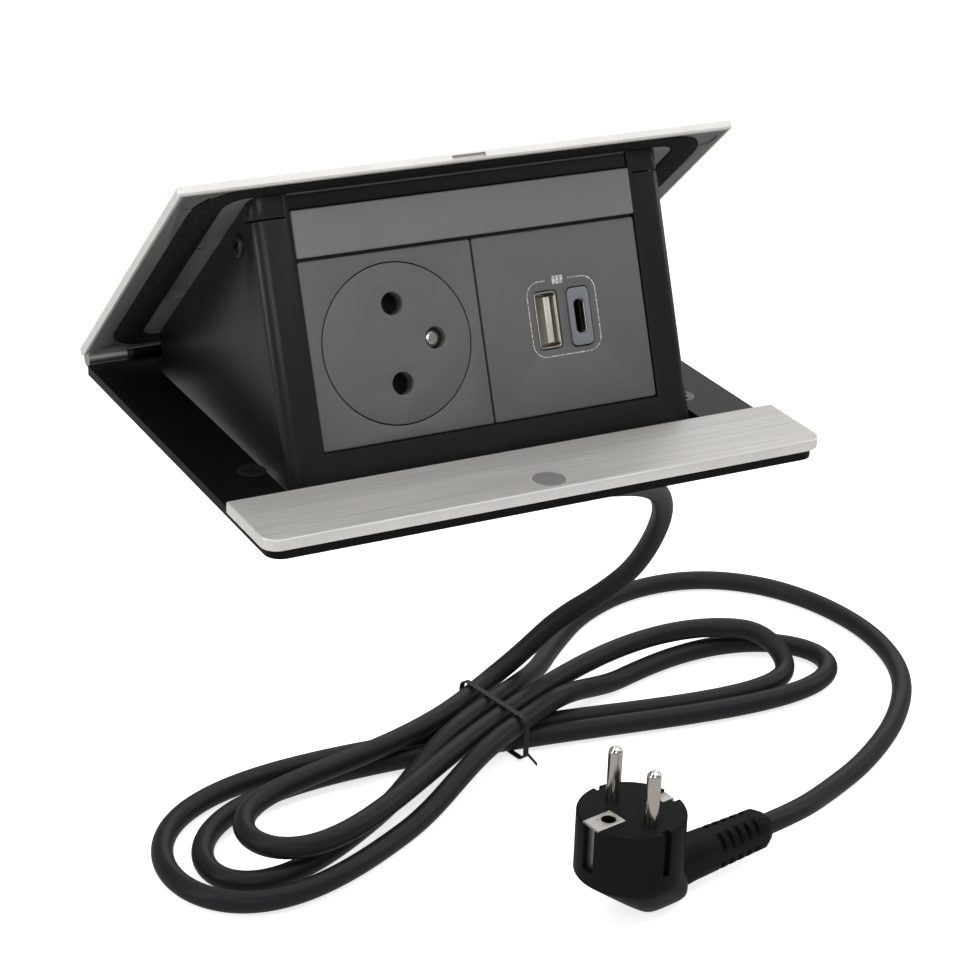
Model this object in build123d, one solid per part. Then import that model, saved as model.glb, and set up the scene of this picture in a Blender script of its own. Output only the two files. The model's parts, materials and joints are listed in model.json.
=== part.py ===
from build123d import *
import math
import os

# A pop-up desk socket. X runs along the front strip, Y runs to the hinge and Z is up.
# The origin lies on the worktop, midway between the two fixing screws. The lid stands open.

# Frame, in millimetres
front_to_screws = 43.0
strip_length = 146.7
strip_depth = 23.6
strip_thickness = 2.9
strip_corner = 4.0
strip_bevel = 0.5
strip_channel_height = 1.4
plate_side = 1.35
plate_thickness = 2.4
plate_front = 0.8
plate_back = 121.0
cutout_gap = 1.5
cutout_front = 26.5
cutout_back = 117.5
cutout_corner = 2.0

# Fixing screws
screw_gap = 3.0
screw_shank_radius = 1.75
screw_neck_radius = 1.9
screw_neck_length = 1.0
screw_relief_radius = 4.2
screw_relief_depth = 0.7
screw_head_radius = 3.6
screw_length = 13.5
screw_clearance = 0.15
recess_width = 0.9
recess_depth = 1.1
recess_span_share = 0.62

# Hinge
hinge_back = 123.4
hinge_rise = 0.7
open_angle = 42.0
barrel_radius = 2.1
barrel_end_gap = 12.8
web_drop = 1.4
pin_radius = 1.2
pin_clearance = 0.04
washer_thickness = 1.4
arm_gap = 0.2
arm_length = 10.4
arm_reach = 5.4
spring_start = 16.0
spring_length = 16.0
spring_wire = 0.3
spring_mean_radius = 1.55
spring_leg = 5.8
spring_leg_slope = 6.0
leg_share = 0.9
spring_groove = 0.6

# Lid skin, liner and gasket
lid_reach = 99.4
lid_back_gap = 2.5
lid_thickness = 2.3
lid_rim = 1.1
lid_pocket = 1.6
lid_bevel = 0.4
liner_clearance = 0.1
gasket_side = 5.35
gasket_band = 8.0
gasket_outer_back = 6.2
gasket_inner_back = 11.6
gasket_front_gap = 1.4
gasket_front_band = 4.7
gasket_outer_corner = 11.0
gasket_inner_corner = 5.0
gasket_proud = 0.3
gasket_groove = 0.6
dimple_radius = 3.2
dimple_depth = 0.35
dimple_gap = 2.8
dimple_reaches = (38.6, 68.0)
corner_dimple_radius = 3.6
corner_dimple_inset = 4.6

# Housing of the socket block, which hangs on the lid
housing_side = 18.85
housing_wall = 2.2
housing_edge_radius = 3.0
face_y = 32.18
face_z = 6.5
face_lean = 21.27
skirt = 9.0
belly_front_y = 52.0
belly_back_y = 104.0
belly_z = -12.0
heel_y = 112.0
heel_z = -4.0
heel_reach = 12.0
column_width = 9.2
window_top = 56.8
window_bottom = -0.4
brow_depth = 1.3
column_top = 55.0
tab_width = 8.1
tab_top = 60.2
tab_depth = 6.0
tab_gap = 0.2

# Carrier, modules and filler bar
carrier_side = 4.1
carrier_bottom = -4.0
carrier_thickness = 2.2
module_size = 45.0
module_gap = 0.5
module_recess = 0.3
module_bevel = 0.35
body_margin = 2.5
body_clearance = 0.1
socket_depth = 28.0
usb_depth = 22.0
cover_thickness = 1.6
bar_start = 45.3
bar_end = 56.5
bar_gap = 0.3
bar_proud = 0.6
bar_bevel = 0.4

# Socket front
socket_shift = 0.2
socket_h = 22.5
disc_margin = 3.4
disc_gap = 0.3
disc_thickness = 4.0
disc_travel = 13.0
spring_flat = 1.3
pin_spacing = 19.0
pin_hole_radius = 2.75
earth_offset = 10.0
earth_pin_radius = 2.4
earth_pin_recess = 1.6
earth_pin_foot = 5.0
earth_hole_radius = 2.65
disc_spring_inset = 6.1
disc_spring_margin = 1.7
disc_spring_wall = 0.8
contact_radius = 3.4
contact_bore_radius = 2.45
contact_length = 8.0
contact_step = 1.0

# USB outlets
usb_a_shift = 4.625
usb_a_h = 22.5
usb_a_height = 13.7
usb_a_width = 6.0
usb_a_wall = 0.4
usb_a_length = 13.0
usb_a_tongue_thickness = 1.9
usb_a_tongue_height = 11.2
usb_a_tongue_length = 9.0
usb_a_tongue_shift = 1.1
usb_a_proud = 0.25
usb_c_shift = 4.075
usb_c_h = 22.35
frame_height = 14.1
frame_width = 5.8
frame_proud = 0.35
frame_length = 3.0
usb_c_height = 9.0
usb_c_width = 3.3
usb_c_wall = 0.3
usb_c_length = 9.0
usb_c_tongue_thickness = 0.7
usb_c_tongue_height = 6.6
usb_c_tongue_length = 6.0
board_height = 34.0
board_margin = 4.875
board_thickness = 1.6

# Release button and latch bolt under the strip
button_radius = 3.8
button_reach = 5.4
button_gap = 0.15
button_foot = 1.3
cam_half = 5.0
cam_front = 4.8
cam_back = 7.0
cam_gap = 0.05
pocket_depth = 1.2
pocket_half = 5.3
pocket_front = 1.4
pocket_back = 9.4
channel_front = 1.2
channel_back = 22.7
channel_half = 6.7
bolt_half = 6.5
bolt_arm_inner = 5.2
bolt_tooth_inner = 4.0
bolt_front = 2.4
bolt_bar = 10.4
bolt_thickness = 1.2
bolt_lift = 0.1
nose_half = 4.0
nose_gap = 0.2
nose_start = 20.5
nose_end = 24.6
nose_height = 2.0
nose_under = 1.25
nose_under_start = 23.7
nose_chamfer = 0.4
slot_half = 1.2
slot_front = 11.6
slot_back = 19.0
post_half = 0.9
post_front = 12.0
post_back = 13.2
latch_spring_radius = 0.55
latch_spring_bore = 0.3
catch_half = 4.4
catch_depth = 0.8
catch_ledge = 0.45

# Lugs of the lid and the screws that hold the block to them
cheek_screw_reach = 79.5
cheek_screw_drop = 5.9
cheek_screw_radius = 1.5
cheek_head_radius = 2.9
cheek_head_height = 1.0
cheek_screw_length = 5.6
lug_thickness = 1.6
lug_length = 12.0
lug_drop = 10.0
lug_flange = 9.0

# Cord, gland and tie
cord_radius = 3.8
floor_z = -227.6
gland_side = 9.5
gland_y = 41.0
gland_z = -24.6
gland_direction = (0.3, 0.5, -0.8)
gland_root_radius = 6.6
gland_tip_radius = 5.2
gland_flange_radius = 9.5
gland_flange_thickness = 2.0
gland_clearance = 0.15
gland_ribs = 4
gland_rib_gap = 1.0
gland_rib_depth = 0.7
hank_x = 126.9
hank_y = 210.7
hank_angle = 10.7
hank_lift = 0.5
strand_gap = 0.9
cross_slope = 0.319
exit_slope = 0.41
lobe_steps = 12
tie_width = 3.0
tie_thickness = 0.45
tie_side_gap = 1.4
tie_near_slot = -1.05
tie_far_slot = 2.2
tie_tail_radius = 0.8
tie_tail_length = 11.0

# Plug
plug_x = 113.9
plug_y = 97.4
plug_angle = 10.5
plug_radius = 18.2
plug_height = 39.0
plug_front_height = 22.0
plug_edge = 0.8
keel_length = 24.0
keel_width = 7.0
keel_shift = 9.0
keel_corner = 3.3
exit_height = 11.0
boss_start = 4.0
boss_end = 26.0
boss_width = 19.0
boss_height = 16.0
boss_corner = 7.0
relief_width = 14.4
relief_height = 14.0
relief_corner = 4.4
relief_end = 61.4
relief_end_size = 12.0
relief_slots = 5
relief_slot_width = 1.3
relief_slot_pitch = 4.2
relief_slot_depth = 1.5
relief_slot_span_share = 0.62
relief_slot_start = 35.5
plug_pin_radius = 2.4
plug_pin_length = 19.0
plug_pin_foot = 6.0
plug_pin_foot_radius = 2.2
plug_pin_root = 0.3
plate_inner = 6.0
plate_outer = 17.6
plate_half = 4.0
plate_gauge = 0.8
plate_leg = 16.0
plate_hole = 2.7
plug_hole_depth = 18.0
clip_inner = 14.6
guide_half = 1.4
guide_depth = 2.4

# What every cut runs past a face
overrun = 5.0

# Derived levels and places
origin_y = front_to_screws
strip_base = plate_thickness
strip_top = strip_base + strip_thickness
hinge_y = hinge_back - origin_y
hinge_z = hinge_rise + plate_thickness
hank_floor = floor_z + hank_lift
cord_pitch = 2 * cord_radius + strand_gap
disc_front = module_recess
disc_back = disc_front + disc_thickness
well_floor = disc_back + disc_travel + spring_flat
plate_width = strip_length - 2 * plate_side
housing_width = strip_length - 2 * housing_side
cheek = housing_width / 2
cutout_width = housing_width + 2 * cutout_gap
screw_x = cutout_width / 2 + screw_gap
barrel_half_length = plate_width / 2 - barrel_end_gap
arm_start = barrel_half_length + washer_thickness + arm_gap
gasket_outer_half = strip_length / 2 - gasket_side
gasket_inner_half = gasket_outer_half - gasket_band
gasket_outer_front = lid_reach - gasket_front_gap
gasket_inner_front = gasket_outer_front - gasket_front_band
dimple_x = gasket_inner_half - dimple_gap
window_half = cheek - column_width
tab_inner = cheek - tab_width
carrier_half = cheek - carrier_side
bar_half = window_half - bar_gap
socket_limits = (-bar_half, module_size - module_gap / 2 - bar_half)
usb_limits = (socket_limits[1] + module_gap, bar_half)
socket_x = (socket_limits[0] + module_size - socket_shift + socket_limits[0]) / 2
disc_radius = module_size / 2 - disc_margin
disc_spring_small = disc_radius - disc_spring_inset
disc_spring_large = disc_radius - disc_spring_margin
usb_middle = sum(usb_limits) / 2
usb_a_x = usb_middle - usb_a_shift
usb_c_x = usb_middle + usb_c_shift
board_width = usb_limits[1] - usb_limits[0] - 2 * body_margin - 2 * board_margin
gland_tip = (cheek - gland_side, gland_y, gland_z)
lean = math.radians(face_lean)
swing = math.radians(open_angle)

# The frames that the pieces are built in
world = Location()
lid = Plane(
    origin=(0, hinge_y, hinge_z),
    x_dir=(1, 0, 0),
    z_dir=(0, math.sin(swing), math.cos(swing)),
).location
face = Plane(
    origin=(0, face_y - origin_y, face_z + plate_thickness),
    x_dir=(1, 0, 0),
    z_dir=(0, -math.cos(lean), math.sin(lean)),
).location


def span(frame, x_limits, y_limits, z_limits):
    """A box between limits in a frame."""
    limits = (x_limits, y_limits, z_limits)
    centre = [(low + high) / 2 for low, high in limits]
    sizes = [abs(high - low) for low, high in limits]
    return frame * Pos(*centre) * Box(*sizes)


def rod(frame, x, y, z_limits, radius):
    """A cylinder along Z between limits in a frame."""
    low, high = z_limits
    return frame * Pos(x, y, (low + high) / 2) * Cylinder(radius, high - low)


def cross_rod(frame, x_limits, y, z, radius):
    """A cylinder along X between limits in a frame."""
    low, high = x_limits
    return frame * Pos((low + high) / 2, y, z) * Rot(0, 90, 0) * Cylinder(radius, high - low)


def bevelled(frame, x_limits, y_limits, z_limits, radius, bevel):
    """A plate with rounded corners and a bevel round its upper face."""
    width = x_limits[1] - x_limits[0]
    depth = y_limits[1] - y_limits[0]
    outline = RectangleRounded(width, depth, radius)
    middle = Pos(sum(x_limits) / 2, sum(y_limits) / 2, z_limits[0])
    plate = extrude(outline, z_limits[1] - z_limits[0])
    plate = chamfer(plate.faces().sort_by(Axis.Z)[-1].edges(), bevel)
    return frame * middle * plate


def lid_box(x_limits, reaches, rises):
    """A box in the lid's frame, with reaches measured forward from the hinge."""
    return span(lid, x_limits, (-reaches[1], -reaches[0]), rises)


def face_box(x_limits, heights, depths):
    """A box in the face's frame, with depths measured into the block."""
    return span(face, x_limits, heights, (-depths[1], -depths[0]))


def face_rod(x, height, depths, radius):
    """A cylinder square to the face, with depths measured into the block."""
    return rod(face, x, height, (-depths[1], -depths[0]), radius)


def facing_x(x, y, z):
    """A frame whose Z looks along X and whose Y looks up."""
    return Plane(origin=(x, y, z), x_dir=(0, 1, 0), z_dir=(1, 0, 0)).location


def both_sides(maker):
    """The two mirror copies of a piece, left and right."""
    piece = maker()
    return piece + mirror(piece, about=Plane.YZ)


def cross_recess(radius):
    """A cross recess that opens upward at the origin."""
    long_side = 2 * radius * recess_span_share
    bar = Box(long_side, recess_width, 2 * recess_depth)
    return bar + Rot(0, 0, 90) * bar


def strip_y(reach):
    """Y of a distance behind the strip's front edge."""
    return reach - origin_y


def base_plate():
    """The sheet that lies on the worktop, with the fixed barrel of the hinge."""
    front, back = strip_y(plate_front), strip_y(plate_back)
    outline = Pos(0, (front + back) / 2) * Rectangle(plate_width, back - front)
    outline = fillet(outline.vertices().group_by(Axis.Y)[0], strip_corner)
    plate = extrude(outline, plate_thickness)
    opening = Pos(0, (strip_y(cutout_front) + strip_y(cutout_back)) / 2, -overrun)
    opening = opening * RectangleRounded(cutout_width, cutout_back - cutout_front, cutout_corner)
    plate -= extrude(opening, plate_thickness + 2 * overrun)
    barrel_limits = (-barrel_half_length, barrel_half_length)
    plate += span(world, barrel_limits, (back, hinge_y), (hinge_z - barrel_radius, plate_thickness))
    plate += cross_rod(world, barrel_limits, hinge_y, hinge_z, barrel_radius)
    plate -= cross_rod(world, (-arm_start, arm_start), hinge_y, hinge_z, pin_radius)
    for side in (-1, 1):
        middle = side * (spring_start + spring_length / 2)
        gap = (middle - spring_length / 2, middle + spring_length / 2)
        plate -= span(world, gap, (back, hinge_y + overrun), (-overrun, hinge_z + overrun))
        leg_x = side * (spring_start + spring_length - spring_wire)
        leg = (leg_x - spring_groove, leg_x + spring_groove)
        leg_base = hinge_z - spring_mean_radius - spring_groove
        plate -= span(world, leg, (back - spring_leg, back + overrun), (leg_base, hinge_z))
        hole_radius = screw_neck_radius + screw_clearance
        plate -= rod(world, side * screw_x, 0, (-overrun, plate_thickness + overrun), hole_radius)
        plate -= countersink(side, screw_clearance)
        plate -= rod(world, side * screw_x, 0, (-overrun, screw_relief_depth), screw_relief_radius)
    pocket = (strip_y(pocket_front), strip_y(pocket_back))
    pocket_floor = plate_thickness - pocket_depth
    plate -= span(world, (-pocket_half, pocket_half), pocket, (pocket_floor, strip_top))
    post = (strip_y(post_front), strip_y(post_back))
    post_top = strip_base + bolt_thickness
    plate += span(world, (-post_half, post_half), post, (plate_thickness - recess_depth, post_top))
    return plate


def countersink(side, clearance):
    """The cone under a fixing screw's head."""
    height = screw_head_radius - screw_neck_radius
    cone = Cone(screw_neck_radius + clearance, screw_head_radius + clearance, height)
    return Pos(side * screw_x, 0, plate_thickness - height / 2) * cone


def fixing_screws():
    """The two countersunk screws that hold the base plate to the worktop."""
    screws = Part()
    for side in (-1, 1):
        top = plate_thickness
        screw = rod(world, side * screw_x, 0, (top - screw_length, top), screw_shank_radius)
        screw += rod(world, side * screw_x, 0, (-screw_neck_length, top), screw_neck_radius)
        screw += countersink(side, 0)
        screw -= Pos(side * screw_x, 0, top) * Rot(0, 0, 20 * side) * cross_recess(screw_head_radius)
        screws += screw
    return screws


def front_strip():
    """The brushed strip, with the button's hole and the bolt's channel under it."""
    half = strip_length / 2
    front, back = strip_y(0), strip_y(strip_depth)
    outline = Pos(0, (front + back) / 2, strip_base) * Rectangle(strip_length, strip_depth)
    outline = fillet(outline.vertices().group_by(Axis.Y)[0], strip_corner)
    strip = extrude(outline, strip_thickness)
    strip = chamfer(strip.faces().sort_by(Axis.Z)[-1].edges(), strip_bevel)
    low = strip_base - overrun
    ceiling = strip_base + strip_channel_height
    channel = (strip_y(channel_front), strip_y(channel_back))
    strip -= span(world, (-channel_half, channel_half), channel, (low, ceiling))
    mouth = nose_half + nose_gap
    nose = (strip_y(nose_start) - 2 * nose_gap - button_foot, back + overrun)
    strip -= span(world, (-mouth, mouth), nose, (low, strip_base + nose_height + nose_gap))
    hole = (low, strip_top + overrun)
    strip -= rod(world, 0, strip_y(button_reach), hole, button_radius + button_gap)
    return strip


def wedge(x_limits, fronts, back, levels):
    """A block whose front slopes from one reach at the bottom to another at the top."""
    bottom, top = levels
    outline = Polyline(
        (strip_y(fronts[0]), bottom),
        (strip_y(fronts[1]), top),
        (strip_y(back), top),
        (strip_y(back), bottom),
        close=True,
    )
    side = Plane.YZ * make_face(outline)
    return Pos(x_limits[0], 0, 0) * extrude(side, x_limits[1] - x_limits[0])


def release_button():
    """The flush button, with the two cams that drive the latch bolt."""
    foot = strip_base + bolt_lift
    top = foot + bolt_thickness
    button = rod(world, 0, strip_y(button_reach), (foot, strip_top), button_radius)
    rise = top - foot
    for side in (-1, 1):
        inner, outer = side * nose_half / 2, side * cam_half
        limits = (min(inner, outer), max(inner, outer))
        button += wedge(limits, (cam_front, cam_front - rise), cam_back, (foot, top))
    return button


def latch_bolt():
    """The sliding bolt that the button draws back from the lid's edge."""
    foot = strip_base + bolt_lift
    top = foot + bolt_thickness
    shoulder = strip_y(channel_back)
    bar = (strip_y(bolt_bar), shoulder)
    bolt = span(world, (-bolt_half, bolt_half), bar, (foot, top))
    tip = strip_y(nose_end)
    crest = foot + nose_height
    nose = span(world, (-nose_half, nose_half), (strip_y(nose_start), tip), (foot, crest))
    nose = chamfer(nose.edges().filter_by(Axis.X).group_by(Axis.Y)[-1].sort_by(Axis.Z)[-1], nose_chamfer)
    under = (strip_y(nose_under_start), tip + overrun)
    nose -= span(world, (-nose_half, nose_half), under, (foot - overrun, foot + nose_under))
    bolt += nose
    slot = (strip_y(slot_front), strip_y(slot_back))
    bolt -= span(world, (-slot_half, slot_half), slot, (foot - overrun, top + overrun))
    for side in (-1, 1):
        inner, outer = side * bolt_arm_inner, side * bolt_half
        arm = (min(inner, outer), max(inner, outer))
        bolt += span(world, arm, (strip_y(bolt_front), strip_y(bolt_bar) + overrun), (foot, top))
        bolt += tooth(side, foot, top)
    return bolt


def tooth(side, foot, top):
    """A tooth of the bolt that lies before a cam."""
    inner, outer = side * bolt_tooth_inner, side * bolt_half
    limits = (min(inner, outer), max(inner, outer))
    rise = top - foot
    outline = Polyline(
        (strip_y(bolt_front), foot),
        (strip_y(bolt_front), top),
        (strip_y(cam_front - rise - cam_gap), top),
        (strip_y(cam_front - cam_gap), foot),
        close=True,
    )
    profile = Plane.YZ * make_face(outline)
    return Pos(limits[0], 0, 0) * extrude(profile, limits[1] - limits[0])


def latch_spring():
    """The small spring between the base plate's post and the bolt, as a sleeve."""
    low, high = strip_y(post_back), strip_y(slot_back)
    level = strip_base + bolt_lift + bolt_thickness / 2
    place = Pos(0, (low + high) / 2, level) * Rot(90, 0, 0)
    sleeve = Cylinder(latch_spring_radius, high - low) - Cylinder(latch_spring_bore, high - low)
    return place * sleeve


def hinge_pin():
    """The long pin that the lid turns on."""
    half = arm_start + arm_length
    return cross_rod(world, (-half, half), hinge_y, hinge_z, pin_radius)


def hinge_washers():
    """The two washers between the barrel and the lid's arms."""
    washers = Part()
    for side in (-1, 1):
        ends = (side * barrel_half_length, side * (barrel_half_length + washer_thickness))
        washer = cross_rod(world, (min(ends), max(ends)), hinge_y, hinge_z, barrel_radius)
        washer -= cross_rod(world, (min(ends), max(ends)), hinge_y, hinge_z, pin_radius)
        washers += washer
    return washers


def hinge_springs():
    """The two springs that lift the lid, as sleeves with their legs."""
    springs = Part()
    outer = spring_mean_radius + spring_wire
    inner = spring_mean_radius - spring_wire
    for side in (-1, 1):
        near = side * (spring_start + spring_wire)
        far = side * (spring_start + spring_length - spring_wire)
        limits = (min(near, far), max(near, far))
        coil = cross_rod(world, limits, hinge_y, hinge_z, outer)
        base = rod_between(
            (far - side * spring_wire, hinge_y, hinge_z - spring_mean_radius),
            (far - side * spring_wire, hinge_y - spring_leg, hinge_z - spring_mean_radius),
            spring_wire * leg_share,
        )
        slope = math.radians(spring_leg_slope)
        start = spring_mean_radius
        lift = start - spring_leg * math.tan(slope)
        first = lid_point(near + side * spring_wire, 0, start)
        last = lid_point(near + side * spring_wire, spring_leg, lift)
        coil += base + rod_between(first, last, spring_wire * leg_share)
        coil -= cross_rod(world, limits, hinge_y, hinge_z, inner)
        springs += coil
    return springs


def lid_point(x, reach, rise):
    """A point of the open lid, in the part's frame."""
    y = hinge_y - reach * math.cos(swing) + rise * math.sin(swing)
    z = hinge_z + reach * math.sin(swing) + rise * math.cos(swing)
    return (x, y, z)


def rod_between(first, last, radius):
    """A straight rod from one point to another."""
    direction = Vector(*last) - Vector(*first)
    return extrude(Plane(origin=first, z_dir=direction) * Circle(radius), direction.length)


def hinge_arm():
    """One arm of the lid, with its eye round the pin."""
    ends = (arm_start, arm_start + arm_length)
    arm = cross_rod(lid, ends, 0, 0, barrel_radius)
    arm += lid_box(ends, (0, arm_reach), (0, lid_pocket))
    arm -= cross_rod(lid, (0, arm_start + arm_length + overrun), 0, 0, pin_radius + pin_clearance)
    return arm


def hinge_arms():
    """The two arms that carry the lid on the pin."""
    return both_sides(hinge_arm)


def lid_skin():
    """The metal tray that closes flush with the strip."""
    half = strip_length / 2
    skin = lid_box((-half, half), (lid_back_gap, lid_reach), (0, lid_thickness))
    top = skin.faces().filter_by(GeomType.PLANE).sort_by(Axis.Z)[-1]
    skin = chamfer(top.edges(), lid_bevel)
    inner = half - lid_rim
    reaches = (lid_back_gap + lid_rim, lid_reach - lid_rim)
    skin -= lid_box((-inner, inner), reaches, (-overrun, lid_pocket))
    notch = (lid_back_gap - overrun, lid_back_gap + lid_rim + liner_clearance)
    for side in (-1, 1):
        ends = (side * (arm_start - pin_clearance), side * (arm_start + arm_length + pin_clearance))
        skin -= lid_box((min(ends), max(ends)), notch, (-overrun, lid_pocket))
        leg = side * (spring_start + 2 * spring_wire)
        skin -= lid_box((leg - spring_groove, leg + spring_groove), notch, (-overrun, lid_pocket))
    catch = (lid_reach - catch_depth, lid_reach + overrun)
    skin -= lid_box((-catch_half, catch_half), catch, (catch_ledge, lid_pocket))
    return skin


def gasket_ring(margin, rises):
    """The gasket's ring outline as a solid, grown by a margin."""
    outer = 2 * gasket_outer_half + 2 * margin
    inner = 2 * gasket_inner_half - 2 * margin
    outer_reach = (gasket_outer_back - margin, gasket_outer_front + margin)
    inner_reach = (gasket_inner_back + margin, gasket_inner_front - margin)
    shapes = []
    sizes = (
        (outer, outer_reach, gasket_outer_corner),
        (inner, inner_reach, gasket_inner_corner),
    )
    for width, reach, corner in sizes:
        place = Pos(0, -(reach[0] + reach[1]) / 2, rises[0])
        outline = RectangleRounded(width, reach[1] - reach[0], corner)
        shapes.append(extrude(place * outline, rises[1] - rises[0]))
    return lid * (shapes[0] - shapes[1])


def lid_liner():
    """The moulded liner inside the tray, with the gasket's groove."""
    half = strip_length / 2 - lid_rim - liner_clearance
    back = lid_back_gap + lid_rim + liner_clearance
    front = lid_reach - lid_rim - liner_clearance
    liner = lid_box((-half, half), (back, front), (0, lid_pocket))
    liner -= gasket_ring(0, (-overrun, gasket_groove))
    for side in (-1, 1):
        ends = (side * (arm_start - liner_clearance), side * (strip_length / 2))
        notch = (back - overrun, arm_reach + liner_clearance)
        liner -= lid_box((min(ends), max(ends)), notch, (-overrun, lid_pocket + overrun))
        leg = side * (spring_start + 2 * spring_wire)
        groove = (leg - spring_groove, leg + spring_groove)
        liner -= lid_box(groove, (back - overrun, spring_leg + spring_groove), (-overrun, lid_pocket + overrun))
        for reach in dimple_reaches:
            liner -= rod(lid, side * dimple_x, -reach, (-overrun, dimple_depth), dimple_radius)
        corner_x = side * (half - corner_dimple_inset)
        corner_y = front - corner_dimple_inset
        liner -= rod(lid, corner_x, -corner_y, (-overrun, dimple_depth), corner_dimple_radius)
    return liner


def lid_gasket():
    """The foam ring that seals the closed lid."""
    return gasket_ring(0, (-gasket_proud, gasket_groove))


def block_profile(rise):
    """The housing's side outline, closed at a height above the lid's underside."""
    slope = math.cos(lean) * math.cos(swing) - math.sin(lean) * math.sin(swing)
    foot = (
        face_y - skirt * math.sin(lean),
        face_z - skirt * math.cos(lean),
    )
    brow_height = brow() + rise / slope
    brow_point = (
        face_y + brow_height * math.sin(lean),
        face_z + brow_height * math.cos(lean),
    )
    heel_top = lid_point(0, heel_reach, rise)
    points = [
        foot,
        (belly_front_y, belly_z),
        (belly_back_y, belly_z),
        (heel_y, heel_z),
    ]
    shifted = [(y - origin_y, z + plate_thickness) for y, z in points]
    shifted.append((heel_top[1], heel_top[2]))
    shifted.append((brow_point[0] - origin_y, brow_point[1] + plate_thickness))
    return make_face(Polyline(*shifted, close=True))


def brow():
    """The height on the face at which it meets the lid's underside."""
    gap_y = face_y - hinge_back
    gap_z = face_z - hinge_rise
    start = gap_y * math.sin(swing) + gap_z * math.cos(swing)
    climb = math.sin(lean) * math.sin(swing) + math.cos(lean) * math.cos(swing)
    return -start / climb


def block_housing():
    """The shell of the block, open at its face and towards the lid."""
    shell = Pos(-cheek, 0, 0) * extrude(Plane.YZ * block_profile(0), housing_width)
    front = [edge for edge in shell.edges() if abs(edge.center().X) > cheek - tab_gap]
    front = ShapeList(front).filter_by(lambda edge: near_face(edge))
    shell = fillet(front, housing_edge_radius)
    inner = offset(block_profile(overrun), -housing_wall)
    inner_half = cheek - housing_wall
    shell -= Pos(-inner_half, 0, 0) * extrude(Plane.YZ * inner, 2 * inner_half)
    window = (window_bottom, window_top)
    shell -= face_box((-window_half, window_half), window, (-overrun, housing_wall + overrun))
    top = tab_top + overrun
    shell -= face_box((-window_half, window_half), (window_top, top), (-overrun, brow_depth))
    for side in (-1, 1):
        ends = (side * tab_inner, side * (cheek + overrun))
        notch = (column_top, top)
        shell -= face_box((min(ends), max(ends)), notch, (-overrun, tab_depth))
        hole = (side * (inner_half - overrun), side * (cheek + overrun))
        shell -= cross_rod(lid, (min(hole), max(hole)), -cheek_screw_reach, -cheek_screw_drop, cheek_screw_radius)
    shell -= gland_cone(gland_clearance)
    return shell


def near_face(edge):
    """Whether an edge lies along the corner between the face and a cheek."""
    local = face.inverse() * Pos(*edge.center())
    return abs(local.position.Z) < tab_gap and edge.length > module_size


def tab_block():
    """One corner tab, before it is mirrored."""
    tab = face_box((tab_inner, cheek), (column_top + tab_gap, tab_top + overrun), (0, tab_depth))
    corner = tab.edges().filter_by(lambda edge: edge.center().X > cheek - tab_gap)
    corner = corner.filter_by(lambda edge: abs((face.inverse() * Pos(*edge.center())).position.Z) < tab_gap)
    corner = corner.sort_by(lambda edge: edge.length)[-1]
    tab = fillet(corner, housing_edge_radius)
    return tab - lid_box((0, cheek + overrun), (0, lid_reach), (0, lid_reach))


def corner_tab_right():
    """The corner tab over the right column."""
    return tab_block()


def corner_tab_left():
    """The corner tab over the left column."""
    return mirror(tab_block(), about=Plane.YZ)


def module_carrier():
    """The frame behind the modules, with an opening for each body."""
    depths = (housing_wall, housing_wall + carrier_thickness)
    carrier = face_box((-carrier_half, carrier_half), (carrier_bottom, column_top), depths)
    low, high = body_margin - body_clearance, module_size - body_margin + body_clearance
    cut = (depths[0] - overrun, depths[1] + overrun)
    for limits in (socket_limits, usb_limits):
        start, end = body_limits(limits)
        carrier -= face_box((start - body_clearance, end + body_clearance), (low, high), cut)
    return carrier


def body_limits(limits):
    """The ends of a module's body behind its front plate."""
    return (limits[0] + body_margin, limits[1] - body_margin)


def module_front(limits):
    """The square front plate of a module."""
    front = bevelled(face, limits, (0, module_size - module_gap), (-housing_wall, -module_recess), module_bevel * 2, module_bevel)
    return front


def module_box(limits, depths):
    """A module's body, or its cover, between two depths."""
    heights = (body_margin, module_size - body_margin)
    return face_box(body_limits(limits), heights, depths)


def socket_body():
    """The socket module, with the well that the disc sinks into."""
    body = module_front(socket_limits) + module_box(socket_limits, (housing_wall, socket_depth))
    body -= face_rod(socket_x, socket_h, (-overrun, well_floor), disc_radius + disc_gap)
    for side in (-1, 1):
        height = socket_h + side * pin_spacing / 2
        step = well_floor + contact_step
        body -= face_rod(socket_x, height, (well_floor - contact_step, step), pin_hole_radius)
        body -= face_rod(socket_x, height, (step, socket_depth + overrun), contact_radius)
    foot = (well_floor - contact_step, well_floor + earth_pin_foot)
    body -= face_rod(socket_x + earth_offset, socket_h, foot, earth_pin_radius)
    return body


def socket_cover():
    """The back plate that closes the socket module."""
    return module_box(socket_limits, (socket_depth, socket_depth + cover_thickness))


def socket_disc():
    """The round front that sinks under a plug."""
    disc = face_rod(socket_x, socket_h, (disc_front, disc_back), disc_radius)
    cut = (disc_front - overrun, disc_back + overrun)
    for side in (-1, 1):
        disc -= face_rod(socket_x, socket_h + side * pin_spacing / 2, cut, pin_hole_radius)
    disc -= face_rod(socket_x + earth_offset, socket_h, cut, earth_hole_radius)
    return disc


def disc_spring():
    """The cone-shaped spring behind the disc, as a sleeve."""
    outline = Polyline(
        (disc_spring_small, -disc_back),
        (disc_spring_small + disc_spring_wall, -disc_back),
        (disc_spring_large, -well_floor),
        (disc_spring_large - disc_spring_wall, -well_floor),
        close=True,
    )
    sleeve = revolve(Plane.XZ * make_face(outline), Axis.Z)
    return face * Pos(socket_x, socket_h, 0) * sleeve


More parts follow.
